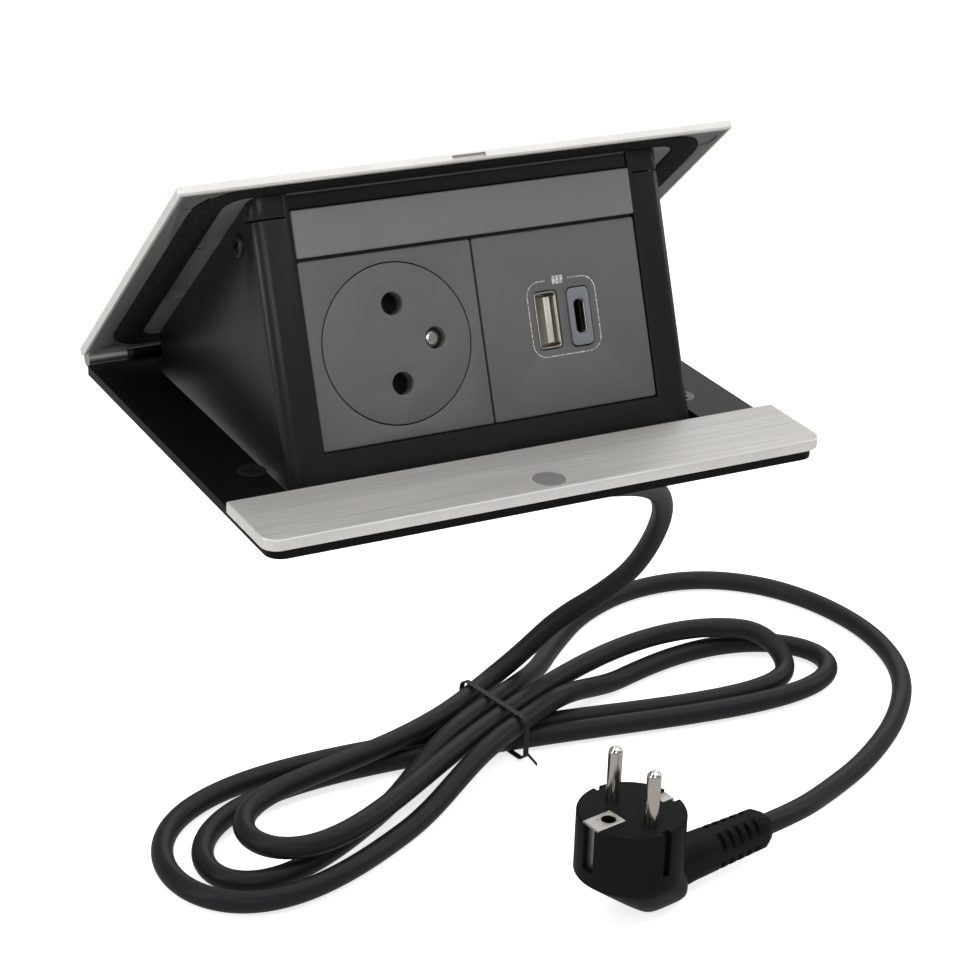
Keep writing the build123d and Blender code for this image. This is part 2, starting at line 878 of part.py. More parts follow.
def earth_pin():
    """The fixed earth pin of the socket."""
    tip = disc_front + earth_pin_recess
    pin = face_rod(socket_x + earth_offset, socket_h, (tip, well_floor + earth_pin_foot), earth_pin_radius)
    end = pin.edges().filter_by(GeomType.CIRCLE).sort_by(lambda edge: edge.center().Y)[0]
    return fillet(end, earth_pin_radius * recess_span_share)


def contact(side):
    """One sprung contact tube of the socket."""
    start = well_floor + contact_step
    height = socket_h + side * pin_spacing / 2
    depths = (start, start + contact_length)
    tube = face_rod(socket_x, height, depths, contact_radius)
    return tube - face_rod(socket_x, height, depths, contact_bore_radius)


def contact_upper():
    """The contact behind the upper pin hole."""
    return contact(1)


def contact_lower():
    """The contact behind the lower pin hole."""
    return contact(-1)


def face_slab(x, height, size, corner, depths):
    """A rounded block square to the face, centred on a point of it."""
    outline = RectangleRounded(size[0], size[1], corner)
    place = face * Pos(x, height, -depths[1])
    return place * extrude(outline, depths[1] - depths[0])


def usb_body():
    """The charger module, bored for its outlets and open behind for its board."""
    body = module_front(usb_limits) + module_box(usb_limits, (housing_wall, usb_depth))
    shell = (usb_a_width, usb_a_height)
    body -= face_slab(usb_a_x, usb_a_h, shell, usb_a_wall, (-overrun, usb_a_length))
    frame = (frame_width, frame_height)
    body -= face_slab(usb_c_x, usb_c_h, frame, frame_width / 3, (-overrun, frame_length))
    slot = (usb_c_width, usb_c_height)
    body -= face_slab(usb_c_x, usb_c_h, slot, usb_c_width / 2.1, (-overrun, usb_c_length))
    back = (usb_a_length, usb_depth + overrun)
    middle = module_size / 2
    body -= face_slab(usb_middle, middle, (board_width, board_height), module_bevel, back)
    neck = (usb_c_length - module_bevel, usb_a_length + module_bevel)
    body -= face_slab(usb_c_x, usb_c_h, slot, usb_c_width / 2.1, neck)
    return body


def usb_cover():
    """The back plate that closes the charger module."""
    return module_box(usb_limits, (usb_depth, usb_depth + cover_thickness))


def usb_board():
    """The circuit board that both outlets stand on."""
    middle = module_size / 2
    depths = (usb_a_length, usb_a_length + board_thickness)
    return face_slab(usb_middle, middle, (board_width, board_height), module_bevel, depths)


def usb_a_shell():
    """The folded metal shell of the larger outlet."""
    front = module_recess - usb_a_proud
    outer = (usb_a_width, usb_a_height)
    inner = (usb_a_width - 2 * usb_a_wall, usb_a_height - 2 * usb_a_wall)
    shell = face_slab(usb_a_x, usb_a_h, outer, usb_a_wall, (front, usb_a_length))
    hollow = (front - overrun, usb_a_length - usb_a_wall)
    return shell - face_slab(usb_a_x, usb_a_h, inner, usb_a_wall / 2, hollow)


def usb_a_tongue():
    """The contact tongue inside the larger outlet."""
    back = usb_a_length - usb_a_wall
    size = (usb_a_tongue_thickness, usb_a_tongue_height)
    x = usb_a_x - usb_a_tongue_shift
    return face_slab(x, usb_a_h, size, usb_a_wall, (back - usb_a_tongue_length, back))


def usb_c_frame():
    """The raised surround of the smaller outlet."""
    depths = (module_recess - frame_proud, frame_length)
    size = (frame_width, frame_height)
    frame = face_slab(usb_c_x, usb_c_h, size, frame_width / 3, depths)
    slot = (usb_c_width, usb_c_height)
    cut = (depths[0] - overrun, depths[1] + overrun)
    return frame - face_slab(usb_c_x, usb_c_h, slot, usb_c_width / 2.1, cut)


def usb_c_shell():
    """The drawn metal shell of the smaller outlet."""
    outer = (usb_c_width, usb_c_height)
    inner = (usb_c_width - 2 * usb_c_wall, usb_c_height - 2 * usb_c_wall)
    depths = (module_recess, usb_a_length)
    shell = face_slab(usb_c_x, usb_c_h, outer, usb_c_width / 2.1, depths)
    hollow = (depths[0] - overrun, usb_a_length - usb_c_wall)
    return shell - face_slab(usb_c_x, usb_c_h, inner, inner[0] / 2.1, hollow)


def usb_c_tongue():
    """The contact tongue inside the smaller outlet."""
    back = usb_a_length - usb_c_wall
    size = (usb_c_tongue_thickness, usb_c_tongue_height)
    front = back - usb_c_length - usb_c_wall
    return face_slab(usb_c_x, usb_c_h, size, usb_c_wall, (front, back))


def filler_bar():
    """The plain bar above the modules."""
    return bevelled(face, (-bar_half, bar_half), (bar_start, bar_end), (-housing_wall, bar_proud), bar_bevel * 2, bar_bevel)


def lid_lug():
    """One bracket that joins the block to the lid."""
    outer = cheek - housing_wall
    reaches = (cheek_screw_reach - lug_length / 2, cheek_screw_reach + lug_length / 2)
    lug = lid_box((outer - lug_thickness, outer), reaches, (-lug_drop, 0))
    lug += lid_box((outer - lug_flange, outer), reaches, (-lug_thickness, 0))
    hole = (outer - lug_thickness - overrun, outer + overrun)
    return lug - cross_rod(lid, hole, -cheek_screw_reach, -cheek_screw_drop, cheek_screw_radius)


def lid_lugs():
    """The pair of brackets under the liner."""
    return both_sides(lid_lug)


def cheek_screw():
    """One screw through a cheek into its lug."""
    head = (cheek, cheek + cheek_head_height)
    place = (-cheek_screw_reach, -cheek_screw_drop)
    screw = cross_rod(lid, (cheek - cheek_screw_length, cheek), *place, cheek_screw_radius)
    dome = cross_rod(lid, head, *place, cheek_head_radius)
    rim = dome.edges().filter_by(GeomType.CIRCLE).sort_by(Axis.X)[-1]
    dome = fillet(rim, cheek_head_height * recess_span_share)
    recess = Pos(cheek + cheek_head_height, *place) * Rot(0, 90, 0) * cross_recess(cheek_head_radius)
    return screw + dome - lid * recess


def cheek_screws():
    """The two screws through the cheeks."""
    return both_sides(cheek_screw)


def gland_axis():
    """The gland's direction as a unit vector."""
    return Vector(*gland_direction).normalized()


def gland_length():
    """The distance from the gland's tip to the wall's inner face, along the gland."""
    wall_top = belly_z + plate_thickness + housing_wall
    return (wall_top - gland_tip[2]) / -gland_axis().Z


def gland_cone(margin):
    """The gland's tapered body from inside the wall to its tip."""
    axis = gland_axis()
    reach = gland_length() + gland_root_radius
    root = Vector(*gland_tip) - axis * reach
    plane = Plane(origin=root, z_dir=axis)
    start = plane * Circle(gland_root_radius + margin)
    end = plane.offset(reach) * Circle(gland_tip_radius + margin)
    return loft([start, end])


def cord_gland():
    """The rubber gland that the cord leaves through."""
    axis = gland_axis()
    flange_low = belly_z + plate_thickness + housing_wall
    flange_high = flange_low + gland_flange_thickness
    gland = gland_cone(0)
    gland -= Pos(gland_tip[0], gland_tip[1], flange_high + 2 * overrun) * Box(
        20 * overrun, 20 * overrun, 4 * overrun
    )
    centre = Vector(*gland_tip) - axis * gland_length()
    flange = Pos(centre.X, centre.Y, (flange_low + flange_high) / 2)
    gland += flange * Cylinder(gland_flange_radius, gland_flange_thickness)
    for rib in range(gland_ribs):
        foot = Vector(*gland_tip) - axis * (2 + rib) * 2 * gland_rib_gap
        plane = Plane(origin=foot, z_dir=axis)
        ring = Circle(gland_root_radius + gland_rib_gap) - Circle(gland_tip_radius - gland_rib_depth)
        gland -= extrude(plane * ring, gland_rib_gap)
    return gland


def route_tube(points, turns):
    """A round cord along straight runs joined by tangent arcs."""
    line = FilletPolyline(*points, radius=turns)
    start = Plane(origin=line @ 0, z_dir=line % 0)
    tube = sweep(start * Circle(cord_radius), path=line)
    section = math.pi * cord_radius**2
    print("cord length", round(line.length, 1), "volume share", round(tube.volume / section / line.length, 4))
    return tube


def turn_radii(points):
    """The arc radius at each corner of a route."""
    radii = []
    for before, here, after in zip(points, points[1:], points[2:]):
        first = Vector(*here) - Vector(*before)
        second = Vector(*after) - Vector(*here)
        turn = math.radians(first.get_angle(second))
        radii.append(0.45 * min(first.length, second.length) / math.tan(turn / 2))
    print("turn radii", [round(radius, 1) for radius in radii])
    return radii


def lobe_point(lobe, slots, share):
    """A point on one lobe of the hank, at a share of its length."""
    side, reach, spread, sway, out_slope, climbs = lobe
    angle = math.radians(hank_angle)
    along = (math.cos(angle) * side, math.sin(angle) * side)
    across = (-math.sin(angle), math.cos(angle))
    swell = math.sin(math.pi * share)
    fade = math.cos(math.pi * share / 2) ** 2
    travel = reach * swell
    drift = spread * math.sin(2 * math.pi * share) * swell + sway * swell**2
    drift += travel * (out_slope * fade - cross_slope * (1 - fade))
    blend = share**2 * (3 - 2 * share)
    slot = slots[0] * (1 - blend) + slots[1] * blend
    level = climbs[0][1]
    for (start, low), (end, high) in zip(climbs, climbs[1:]):
        if share > start:
            step = min(1, (share - start) / (end - start))
            level = low + (high - low) * step**2 * (3 - 2 * step)
    return Vector(
        hank_x + along[0] * travel + across[0] * (drift + slot * cord_pitch),
        hank_y + along[1] * travel + across[1] * (drift + slot * cord_pitch),
        hank_floor + cord_radius + level * cord_pitch,
    )


# The hank's lobes in turn: side, reach, spread, sway, slope out, and level against share of length
hank_lobes = (
    (-1, 121.1, 20.0, 17.4, -exit_slope, ((0, 1), (1, 1))),
    (1, 126.4, 2.5, -16.3, cross_slope, ((0, 1), (0.4, 1), (0.6, 0), (1, 0))),
    (-1, 148.3, 8.2, -12.4, cross_slope, ((0, 0), (0.86, 0), (0.97, 1))),
    (1, 141.7, 2.8, -14.5, cross_slope, ((0.05, 1), (0.15, 0), (1, 0))),
    (-1, 135.9, 6.0, -18.1, cross_slope, ((0, 0), (0.84, 0), (0.95, 1))),
)
hank_slots = (2.2, 0.0, 0.55, -1.05, -0.55, 1.05)


def hank_nodes():
    """Points of the hank with the direction of the cord at each."""
    nodes = []
    small = cord_radius / 1000
    for number, lobe in enumerate(hank_lobes):
        slots = hank_slots[number : number + 2]
        first = 0 if number == 0 else 1
        for step in range(first, lobe_steps + 1):
            share = step / lobe_steps
            before = lobe_point(lobe, slots, max(0, share - small))
            after = lobe_point(lobe, slots, min(1, share + small))
            nodes.append((lobe_point(lobe, slots, share), (after - before).normalized()))
    return nodes


def biarc(start, end):
    """The two arcs that join two points along their directions."""
    (p, p_way), (q, q_way) = start, end
    gap = q - p
    both = p_way + q_way
    bend = 2 * (1 - p_way.dot(q_way))
    reach = gap.dot(both)
    if bend < cord_radius / 10**6:
        arm = gap.dot(gap) / (2 * reach)
    else:
        arm = (math.sqrt(reach**2 + bend * gap.dot(gap)) - reach) / bend
    first = p + p_way * arm
    last = q - q_way * arm
    middle = (first + last) / 2
    way = (last - first).normalized()
    return [TangentArc(p, middle, tangent=p_way), TangentArc(middle, q, tangent=way)]


def hank_path():
    """The centre line of the hank."""
    nodes = hank_nodes()
    arcs = []
    for start, end in zip(nodes, nodes[1:]):
        arcs += biarc(start, end)
    return Wire([arc for arc in arcs])


def least_gap(path):
    """The least distance between two passes of the cord, less its diameter."""
    count = int(path.length / cord_radius)
    points = [path.position_at(step / count) for step in range(count + 1)]
    apart = int(8 * cord_radius / (path.length / count)) + 1
    least = path.length
    for index, here in enumerate(points):
        for there in points[index + apart :]:
            least = min(least, (here - there).length)
    return least - 2 * cord_radius


def cord_hank():
    """The tied hank of spare cord, as one tube."""
    path = hank_path()
    start = Plane(origin=path @ 0, z_dir=path % 0)
    hank = sweep(start * Circle(cord_radius), path=path)
    section = math.pi * cord_radius**2
    print("hank length", round(path.length, 1), "volume share", round(hank.volume / section / path.length, 4))
    print("least gap of the hank", round(least_gap(path), 3))
    return hank


# The cord's free route from the gland down to the hank
drop_route = (
    (50.4, 50.0, -39.0),
    (80.5, 87.7, -62.7),
    (115.9, 126.5, -85.4),
    (145.3, 153.8, -101.7),
    (166.6, 174.2, -117.3),
    (178.5, 191.3, -137.3),
    (179.9, 208.6, -163.2),
    (172.0, 220.0, -178.6),
    (162.2, 233.8, -193.2),
    (149.3, 238.6, -207.8),
)
drop_end_run = 14.0

# The cord's free route from the hank round to the plug
lead_route = (
    (160.0, 245.0, -220.6),
    (178.0, 265.0, -223.8),
    (202.0, 285.0, -223.8),
    (232.0, 296.5, -223.8),
    (262.0, 294.0, -223.8),
    (285.0, 277.0, -223.8),
    (298.0, 250.0, -223.8),
    (301.0, 219.0, -223.8),
    (292.0, 188.0, -223.8),
    (270.0, 161.5, -223.8),
    (240.5, 140.0, -223.8),
    (212.0, 125.0, -222.0),
)
lead_start_run = 18.0
lead_end_run = 16.0


def cord_drop():
    """The free cord from the gland to the hank."""
    end, way = hank_nodes()[0]
    route = [gland_tip, *drop_route, tuple(end - way * drop_end_run), tuple(end)]
    return route_tube(route, turn_radii(route))


def plug_way():
    """The direction in which the cord leaves the plug."""
    angle = math.radians(plug_angle)
    return Vector(math.cos(angle), math.sin(angle), 0)


def cord_lead():
    """The free cord from the hank to the plug."""
    start, way = hank_nodes()[-1]
    tip = Vector(plug_x, plug_y, floor_z + exit_height) + plug_way() * relief_end
    route = [tuple(start), tuple(start + way * lead_start_run), *lead_route]
    route += [tuple(tip + plug_way() * lead_end_run), tuple(tip)]
    return route_tube(route, turn_radii(route))


def cord_tie():
    """The flat tie round the middle of the hank, with its twisted tail."""
    place = Pos(hank_x, hank_y, floor_z) * Rot(0, 0, hank_angle) * facing_x(0, 0, 0)
    near = tie_near_slot * cord_pitch - cord_radius - tie_side_gap
    far = tie_far_slot * cord_pitch + cord_radius + tie_side_gap
    top = hank_lift + 2 * cord_radius + cord_pitch + tie_thickness
    inner_size = (far - near, top - 2 * tie_thickness + hank_lift)
    outer_size = (inner_size[0] + 2 * tie_thickness, inner_size[1] + 2 * tie_thickness)
    middle = Pos((near + far) / 2, outer_size[1] / 2, -tie_width / 2)
    ring = RectangleRounded(*outer_size, cord_radius) - RectangleRounded(*inner_size, cord_radius - tie_thickness)
    tie = place * extrude(middle * ring, tie_width)
    foot = place * Pos(near - tie_thickness / 2, cord_radius, 0)
    direction = Vector(-math.sin(math.radians(hank_angle)), math.cos(math.radians(hank_angle)), 0) * -1
    direction = direction + Vector(0, 0, -tie_tail_radius / cord_radius)
    tail = Plane(origin=foot.position, z_dir=direction) * Circle(tie_tail_radius)
    return tie + extrude(tail, tie_tail_length)


def plug_place():
    """The plug's frame, at its foot, with X along its cord."""
    return Pos(plug_x, plug_y, floor_z) * Rot(0, 0, plug_angle)


def upright(distance, height, width, tall, corner):
    """A rounded outline square to the plug's cord."""
    return facing_x(distance, 0, height) * RectangleRounded(width, tall, corner)


def plug_body():
    """The moulded angled plug with its strain relief."""
    waist = plug_height - plug_front_height
    top = Pos(0, 0, waist) * Circle(plug_radius)
    keel = Pos(keel_shift, 0, 0) * RectangleRounded(keel_length, keel_width, keel_corner)
    front = Pos(0, 0, plug_height - plug_front_height / 2) * Cylinder(plug_radius, plug_front_height)
    front = chamfer(front.edges().group_by(Axis.Z)[-1], plug_edge)
    body = front + loft([keel, top])
    boss = loft([
        upright(boss_start, exit_height, boss_width, boss_height, boss_corner),
        upright(boss_end, exit_height, relief_width, relief_height, relief_corner),
    ])
    relief = loft([
        upright(boss_end, exit_height, relief_width, relief_height, relief_corner),
        upright(relief_end, exit_height, relief_end_size, relief_end_size, relief_corner),
    ])
    body += boss + relief
    for number in range(relief_slots):
        middle = relief_slot_start + number * relief_slot_pitch
        share = (middle - boss_end) / (relief_end - boss_end)
        size = relief_width + (relief_end_size - relief_width) * share
        long_side = size * relief_slot_span_share
        for quarter in range(4):
            turned = Pos(middle, 0, exit_height) * Rot(90 * quarter, 0, 0)
            slot = Box(relief_slot_width, long_side, 2 * relief_slot_depth)
            body -= turned * Pos(0, 0, size / 2) * slot
    face_top = plug_height + overrun
    depth = plug_height - plate_gauge
    plate = (-plate_outer - overrun, -plate_inner)
    body -= span(world, plate, (-plate_half, plate_half), (depth, face_top))
    leg = (-plate_outer - overrun, -plate_outer + plate_gauge)
    body -= span(world, leg, (-plate_half, plate_half), (depth - plate_leg, face_top))
    hole = (plug_height - plug_hole_depth, face_top)
    body -= rod(world, -earth_offset, 0, hole, plate_hole)
    clip = (clip_inner, plug_radius + overrun)
    body -= span(world, clip, (-plate_half, plate_half), (depth - plate_leg, face_top))
    for side in (-1, 1):
        ends = (side * (plug_radius - guide_depth), side * (plug_radius + overrun))
        guide = (plug_height - plate_leg, face_top)
        body -= span(world, (-guide_half, guide_half), (min(ends), max(ends)), guide)
        pin = side * pin_spacing / 2
        body -= rod(world, 0, pin, (plug_height - plug_pin_foot, face_top), plug_pin_foot_radius)
    return plug_place() * body


def plug_pins():
    """The two round pins of the plug."""
    pins = Part()
    for side in (-1, 1):
        root = plug_height + plug_pin_root
        place = side * pin_spacing / 2
        pin = rod(world, 0, place, (root, plug_height + plug_pin_length), plug_pin_radius)
        tip = pin.edges().filter_by(GeomType.CIRCLE).sort_by(Axis.Z)[-1]
        pin = fillet(tip, plug_pin_radius * leg_share)
        pins += pin + rod(world, 0, place, (plug_height - plug_pin_foot, root), plug_pin_foot_radius)
    return plug_place() * pins


def plug_earth_plate():
    """The bent earth plate with its hole."""
    top = plug_height
    low = top - plate_gauge
    plate = span(world, (-plate_outer, -plate_inner), (-plate_half, plate_half), (low, top))
    leg = (-plate_outer, -plate_outer + plate_gauge)
    plate += span(world, leg, (-plate_half, plate_half), (low - plate_leg, top))
    plate -= rod(world, -earth_offset, 0, (low - overrun, top + overrun), contact_bore_radius)
    return plug_place() * plate


def plug_earth_clip():
    """The second earth contact, on the plug's cord side."""
    ends = (clip_inner, clip_inner + 2 * plate_gauge)
    low = plug_height - plate_gauge - plate_leg
    return plug_place() * span(world, ends, (-plate_half, plate_half), (low, plug_height - plate_gauge))


nodes = {
    "base_plate": base_plate,
    "fixing_screws": fixing_screws,
    "front_strip": front_strip,
    "release_button": release_button,
    "latch_bolt": latch_bolt,
    "latch_spring": latch_spring,
    "hinge_pin": hinge_pin,
    "hinge_washers": hinge_washers,
    "hinge_springs": hinge_springs,
    "hinge_arms": hinge_arms,
    "lid_skin": lid_skin,
    "lid_liner": lid_liner,
    "lid_gasket": lid_gasket,
    "lid_lugs": lid_lugs,
    "cheek_screws": cheek_screws,
    "block_housing": block_housing,
    "corner_tab_left": corner_tab_left,
    "corner_tab_right": corner_tab_right,
    "module_carrier": module_carrier,
    "filler_bar": filler_bar,
    "socket_body": socket_body,
    "socket_cover": socket_cover,
    "socket_disc": socket_disc,
    "disc_spring": disc_spring,
    "earth_pin": earth_pin,
    "contact_upper": contact_upper,
    "contact_lower": contact_lower,
    "usb_body": usb_body,
    "usb_cover": usb_cover,
    "usb_board": usb_board,
    "usb_a_shell": usb_a_shell,
    "usb_a_tongue": usb_a_tongue,
    "usb_c_frame": usb_c_frame,
    "usb_c_shell": usb_c_shell,
    "usb_c_tongue": usb_c_tongue,
    "cord_gland": cord_gland,
    "cord_drop": cord_drop,
    "cord_hank": cord_hank,
    "cord_lead": cord_lead,
    "cord_tie": cord_tie,
    "plug_body": plug_body,
    "plug_pins": plug_pins,
    "plug_earth_plate": plug_earth_plate,
    "plug_earth_clip": plug_earth_clip,
}

os.makedirs("parts", exist_ok=True)
for node, maker in nodes.items():
    piece = maker()
    print(node, "solids", len(piece.solids()), "volume", round(piece.volume, 1))
    export_step(piece, f"parts/{node}.step")
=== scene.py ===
"""Looks of the pop-up desk socket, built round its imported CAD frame."""

import json
import logging
import math
from dataclasses import dataclass, field
from enum import Enum

import bmesh
import bpy
from mathutils import Matrix, Vector

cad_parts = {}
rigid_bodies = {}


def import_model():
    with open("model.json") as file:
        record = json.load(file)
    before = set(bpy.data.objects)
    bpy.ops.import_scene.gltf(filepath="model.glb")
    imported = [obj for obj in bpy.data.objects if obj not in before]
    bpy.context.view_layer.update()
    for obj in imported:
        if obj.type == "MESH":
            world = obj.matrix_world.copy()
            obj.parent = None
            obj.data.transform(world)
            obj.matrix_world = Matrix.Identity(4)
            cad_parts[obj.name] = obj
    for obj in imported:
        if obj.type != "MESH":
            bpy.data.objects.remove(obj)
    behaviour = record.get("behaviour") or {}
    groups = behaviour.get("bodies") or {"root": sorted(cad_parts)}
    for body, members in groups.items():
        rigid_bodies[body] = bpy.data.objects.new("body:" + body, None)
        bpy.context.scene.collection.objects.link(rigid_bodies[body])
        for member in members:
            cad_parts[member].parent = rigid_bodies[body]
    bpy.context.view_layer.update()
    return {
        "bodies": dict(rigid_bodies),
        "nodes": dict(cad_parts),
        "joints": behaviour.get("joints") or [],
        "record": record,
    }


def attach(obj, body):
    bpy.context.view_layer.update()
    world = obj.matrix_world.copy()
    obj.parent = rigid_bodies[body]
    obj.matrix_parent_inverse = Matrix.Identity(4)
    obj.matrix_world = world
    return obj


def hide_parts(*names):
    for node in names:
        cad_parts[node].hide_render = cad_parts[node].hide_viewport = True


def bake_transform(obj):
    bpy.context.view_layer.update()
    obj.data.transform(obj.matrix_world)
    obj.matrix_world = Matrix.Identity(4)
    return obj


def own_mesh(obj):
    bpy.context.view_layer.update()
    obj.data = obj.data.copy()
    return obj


log = logging.getLogger("desk_socket")

# A piece is built in millimetres in a frame of its own, and MM brings it to metres.
MM = 0.001
# The face leans back by LEAN, and the lid stands open by SWING. HINGE is the middle of the
# hinge's axis, and FACE is the middle of the modules' foot. SOCKET is the socket's middle on
# the face, and EARTH_OFFSET is how far beside it the earth pin stands.
LEAN = math.radians(21.27)
SWING = math.radians(42.0)
HINGE = (0.0, 80.4, 3.1)
FACE = (0.0, -10.82, 8.9)
FLOOR = -227.6
SOCKET = (-22.6, 22.5)
EARTH_OFFSET = 10.0
SIDES = (-1, 1)
# A face whose normal agrees with the main face's by less than this counts as an edge and gets the painted
# highlight.
EDGE_HIGHLIGHT_LIMIT = 0.75
# The colour sockets of a Mix node, which have the same names as those of its other types.
MIX_LOW, MIX_HIGH, MIX_RESULT = 6, 7, 2
Span = tuple[float, float]
Point = tuple[float, float, float]
Box = tuple[Span, Span, Span]
Outline = list[Span]


class Pattern(Enum):
    """How a finish varies over its surface."""

    BRUSHED = "brushed"
    GRAIN = "grain"
    FOAM = "foam"
    RUBBER = "rubber"
    METAL = "metal"


@dataclass(frozen=True)
class Weave:
    """How fine a pattern is.

    Args:
        fine: the fine noise's scale along each axis, per metre.
        broad: the broad noise's scale.
        relief: the scale of the noise that raises the surface.
        swing: how far the colour moves, as a share of it.
    """

    fine: Point
    broad: Point
    relief: Point
    swing: float = 0.05


WEAVES = {
    Pattern.BRUSHED: Weave((35, 4200, 4200), (12, 1500, 1500), (60, 7000, 7000), 0.17),
    Pattern.GRAIN: Weave((2600, 2600, 2600), (60, 60, 60), (5200, 5200, 5200)),
    Pattern.FOAM: Weave((3000, 3000, 3000), (1700, 1700, 1700), (1900, 1900, 1900), 0.75),
    Pattern.RUBBER: Weave((900, 900, 900), (45, 45, 45), (420, 420, 420)),
    Pattern.METAL: Weave((1800, 1800, 1800), (120, 120, 120), (2400, 2400, 2400)),
}


@dataclass(frozen=True)
class Finish:
    """One procedural finish.

    Args:
        name: the material's name.
        colour: the base colour, linear.
        roughness: the mean roughness.
        metallic: 1 for bare metal.
        pattern: how the surface varies.
        bump: the height of the relief, in metres.
        specular: how strongly a surface that isn't metal reflects.
        shared_slot: the record's slot, where it isn't called as the finish is.
    """

    name: str
    colour: Point
    roughness: float
    metallic: float = 0.0
    pattern: Pattern = Pattern.GRAIN
    bump: float = 0.00002
    specular: float = 0.5
    shared_slot: str = ""

    @property
    def slot(self) -> str:
        """The record's material slot."""
        return self.shared_slot or self.name


ALUMINIUM = Finish("brushed_metal", (0.49, 0.475, 0.45), 0.5, 0.5, Pattern.BRUSHED, 0.000008)
# A lighter copy of the brushed metal: a painted highlight on the bevels and sides of brushed pieces.
ALUMINIUM_EDGE_HIGHLIGHT = Finish("brushed_edge_painted_highlight", (0.74, 0.725, 0.7), 0.45, 0.5, Pattern.METAL, 0.000005)
BASE_BLACK = Finish("base_black", (0.003, 0.003, 0.003), 0.42, 0.0, Pattern.GRAIN, 0.00001, 0.14)
BLOCK_BLACK = Finish("block_black", (0.0085, 0.0083, 0.0081), 0.34, 0.0, Pattern.GRAIN, 0.000008, 0.36)
MODULE_GREY = Finish("module_grey", (0.112, 0.11, 0.112), 0.55, 0.0, Pattern.GRAIN, 0.00001)
BAR_GREY = Finish("bar_grey", (0.158, 0.153, 0.155), 0.5, 0.0, Pattern.GRAIN, 0.00001)
LINER_GREY = Finish("liner_grey", (0.085, 0.084, 0.08), 0.42, 0.0, Pattern.GRAIN, 0.00001)
FOAM_BLACK = Finish("foam_black", (0.011, 0.011, 0.011), 0.95, 0.0, Pattern.FOAM, 0.0002, 0.05)
BUTTON_GREY = Finish("button_grey", (0.17, 0.163, 0.155), 0.65, 0.0, Pattern.GRAIN, 0.00001, 0.2)
SCREW_BLACK = Finish("screw_black", (0.035, 0.035, 0.035), 0.32, 0.7, Pattern.METAL, 0.00001)
STEEL = Finish("pin_steel", (0.56, 0.56, 0.57), 0.3, 1.0, Pattern.METAL, 0.00001)
ARM_METAL = Finish("arm_metal", (0.62, 0.61, 0.6), 0.34, 1.0, Pattern.METAL, 0.00001)
NICKEL = Finish("nickel", (0.72, 0.69, 0.64), 0.16, 1.0, Pattern.METAL, 0.000004)
# A darker copy of the nickel: painted shade on the plug's earth plate and clip.
EARTH_NICKEL_SHADED = Finish(
    "earth_nickel_painted_shade", (0.47, 0.455, 0.43), 0.38, 1.0, Pattern.METAL, 0.000006, shared_slot="nickel"
)
# A lighter copy of the nickel: a painted highlight on the larger port's tongue, which stands in for the
# lit wall of the shell.
TONGUE_HIGHLIGHT_NICKEL = Finish(
    "nickel_painted_highlight", (0.82, 0.78, 0.7), 0.42, 0.6, Pattern.METAL, 0.000004, shared_slot="nickel"
)
BRASS = Finish("contact_brass", (0.78, 0.58, 0.28), 0.3, 1.0, Pattern.METAL, 0.00001)
FRAME_BLUE = Finish("frame_blue_grey", (0.19, 0.2, 0.222), 0.32, 0.0, Pattern.GRAIN, 0.00001)
TONGUE = Finish("tongue_black", (0.018, 0.018, 0.018), 0.45, 0.0, Pattern.GRAIN, 0.00001)
BOARD = Finish("board_green", (0.03, 0.16, 0.06), 0.4, 0.0, Pattern.GRAIN, 0.00001)
CORD_BLACK = Finish("cord_black", (0.012, 0.0125, 0.0135), 0.4, 0.0, Pattern.RUBBER, 0.00005, 0.18)
PLUG_BLACK = Finish("plug_black", (0.008, 0.008, 0.0083), 0.42, 0.0, Pattern.RUBBER, 0.00003, 0.04)
TIE_BLACK = Finish("tie_black", (0.01, 0.01, 0.01), 0.5, 0.0, Pattern.GRAIN, 0.00002, 0.3)
SILVER_PRINT = Finish(
    "silver_print", (0.5, 0.485, 0.46), 0.5, 0.0, Pattern.FOAM, 0.00001, 0.2, shared_slot="nickel"
)


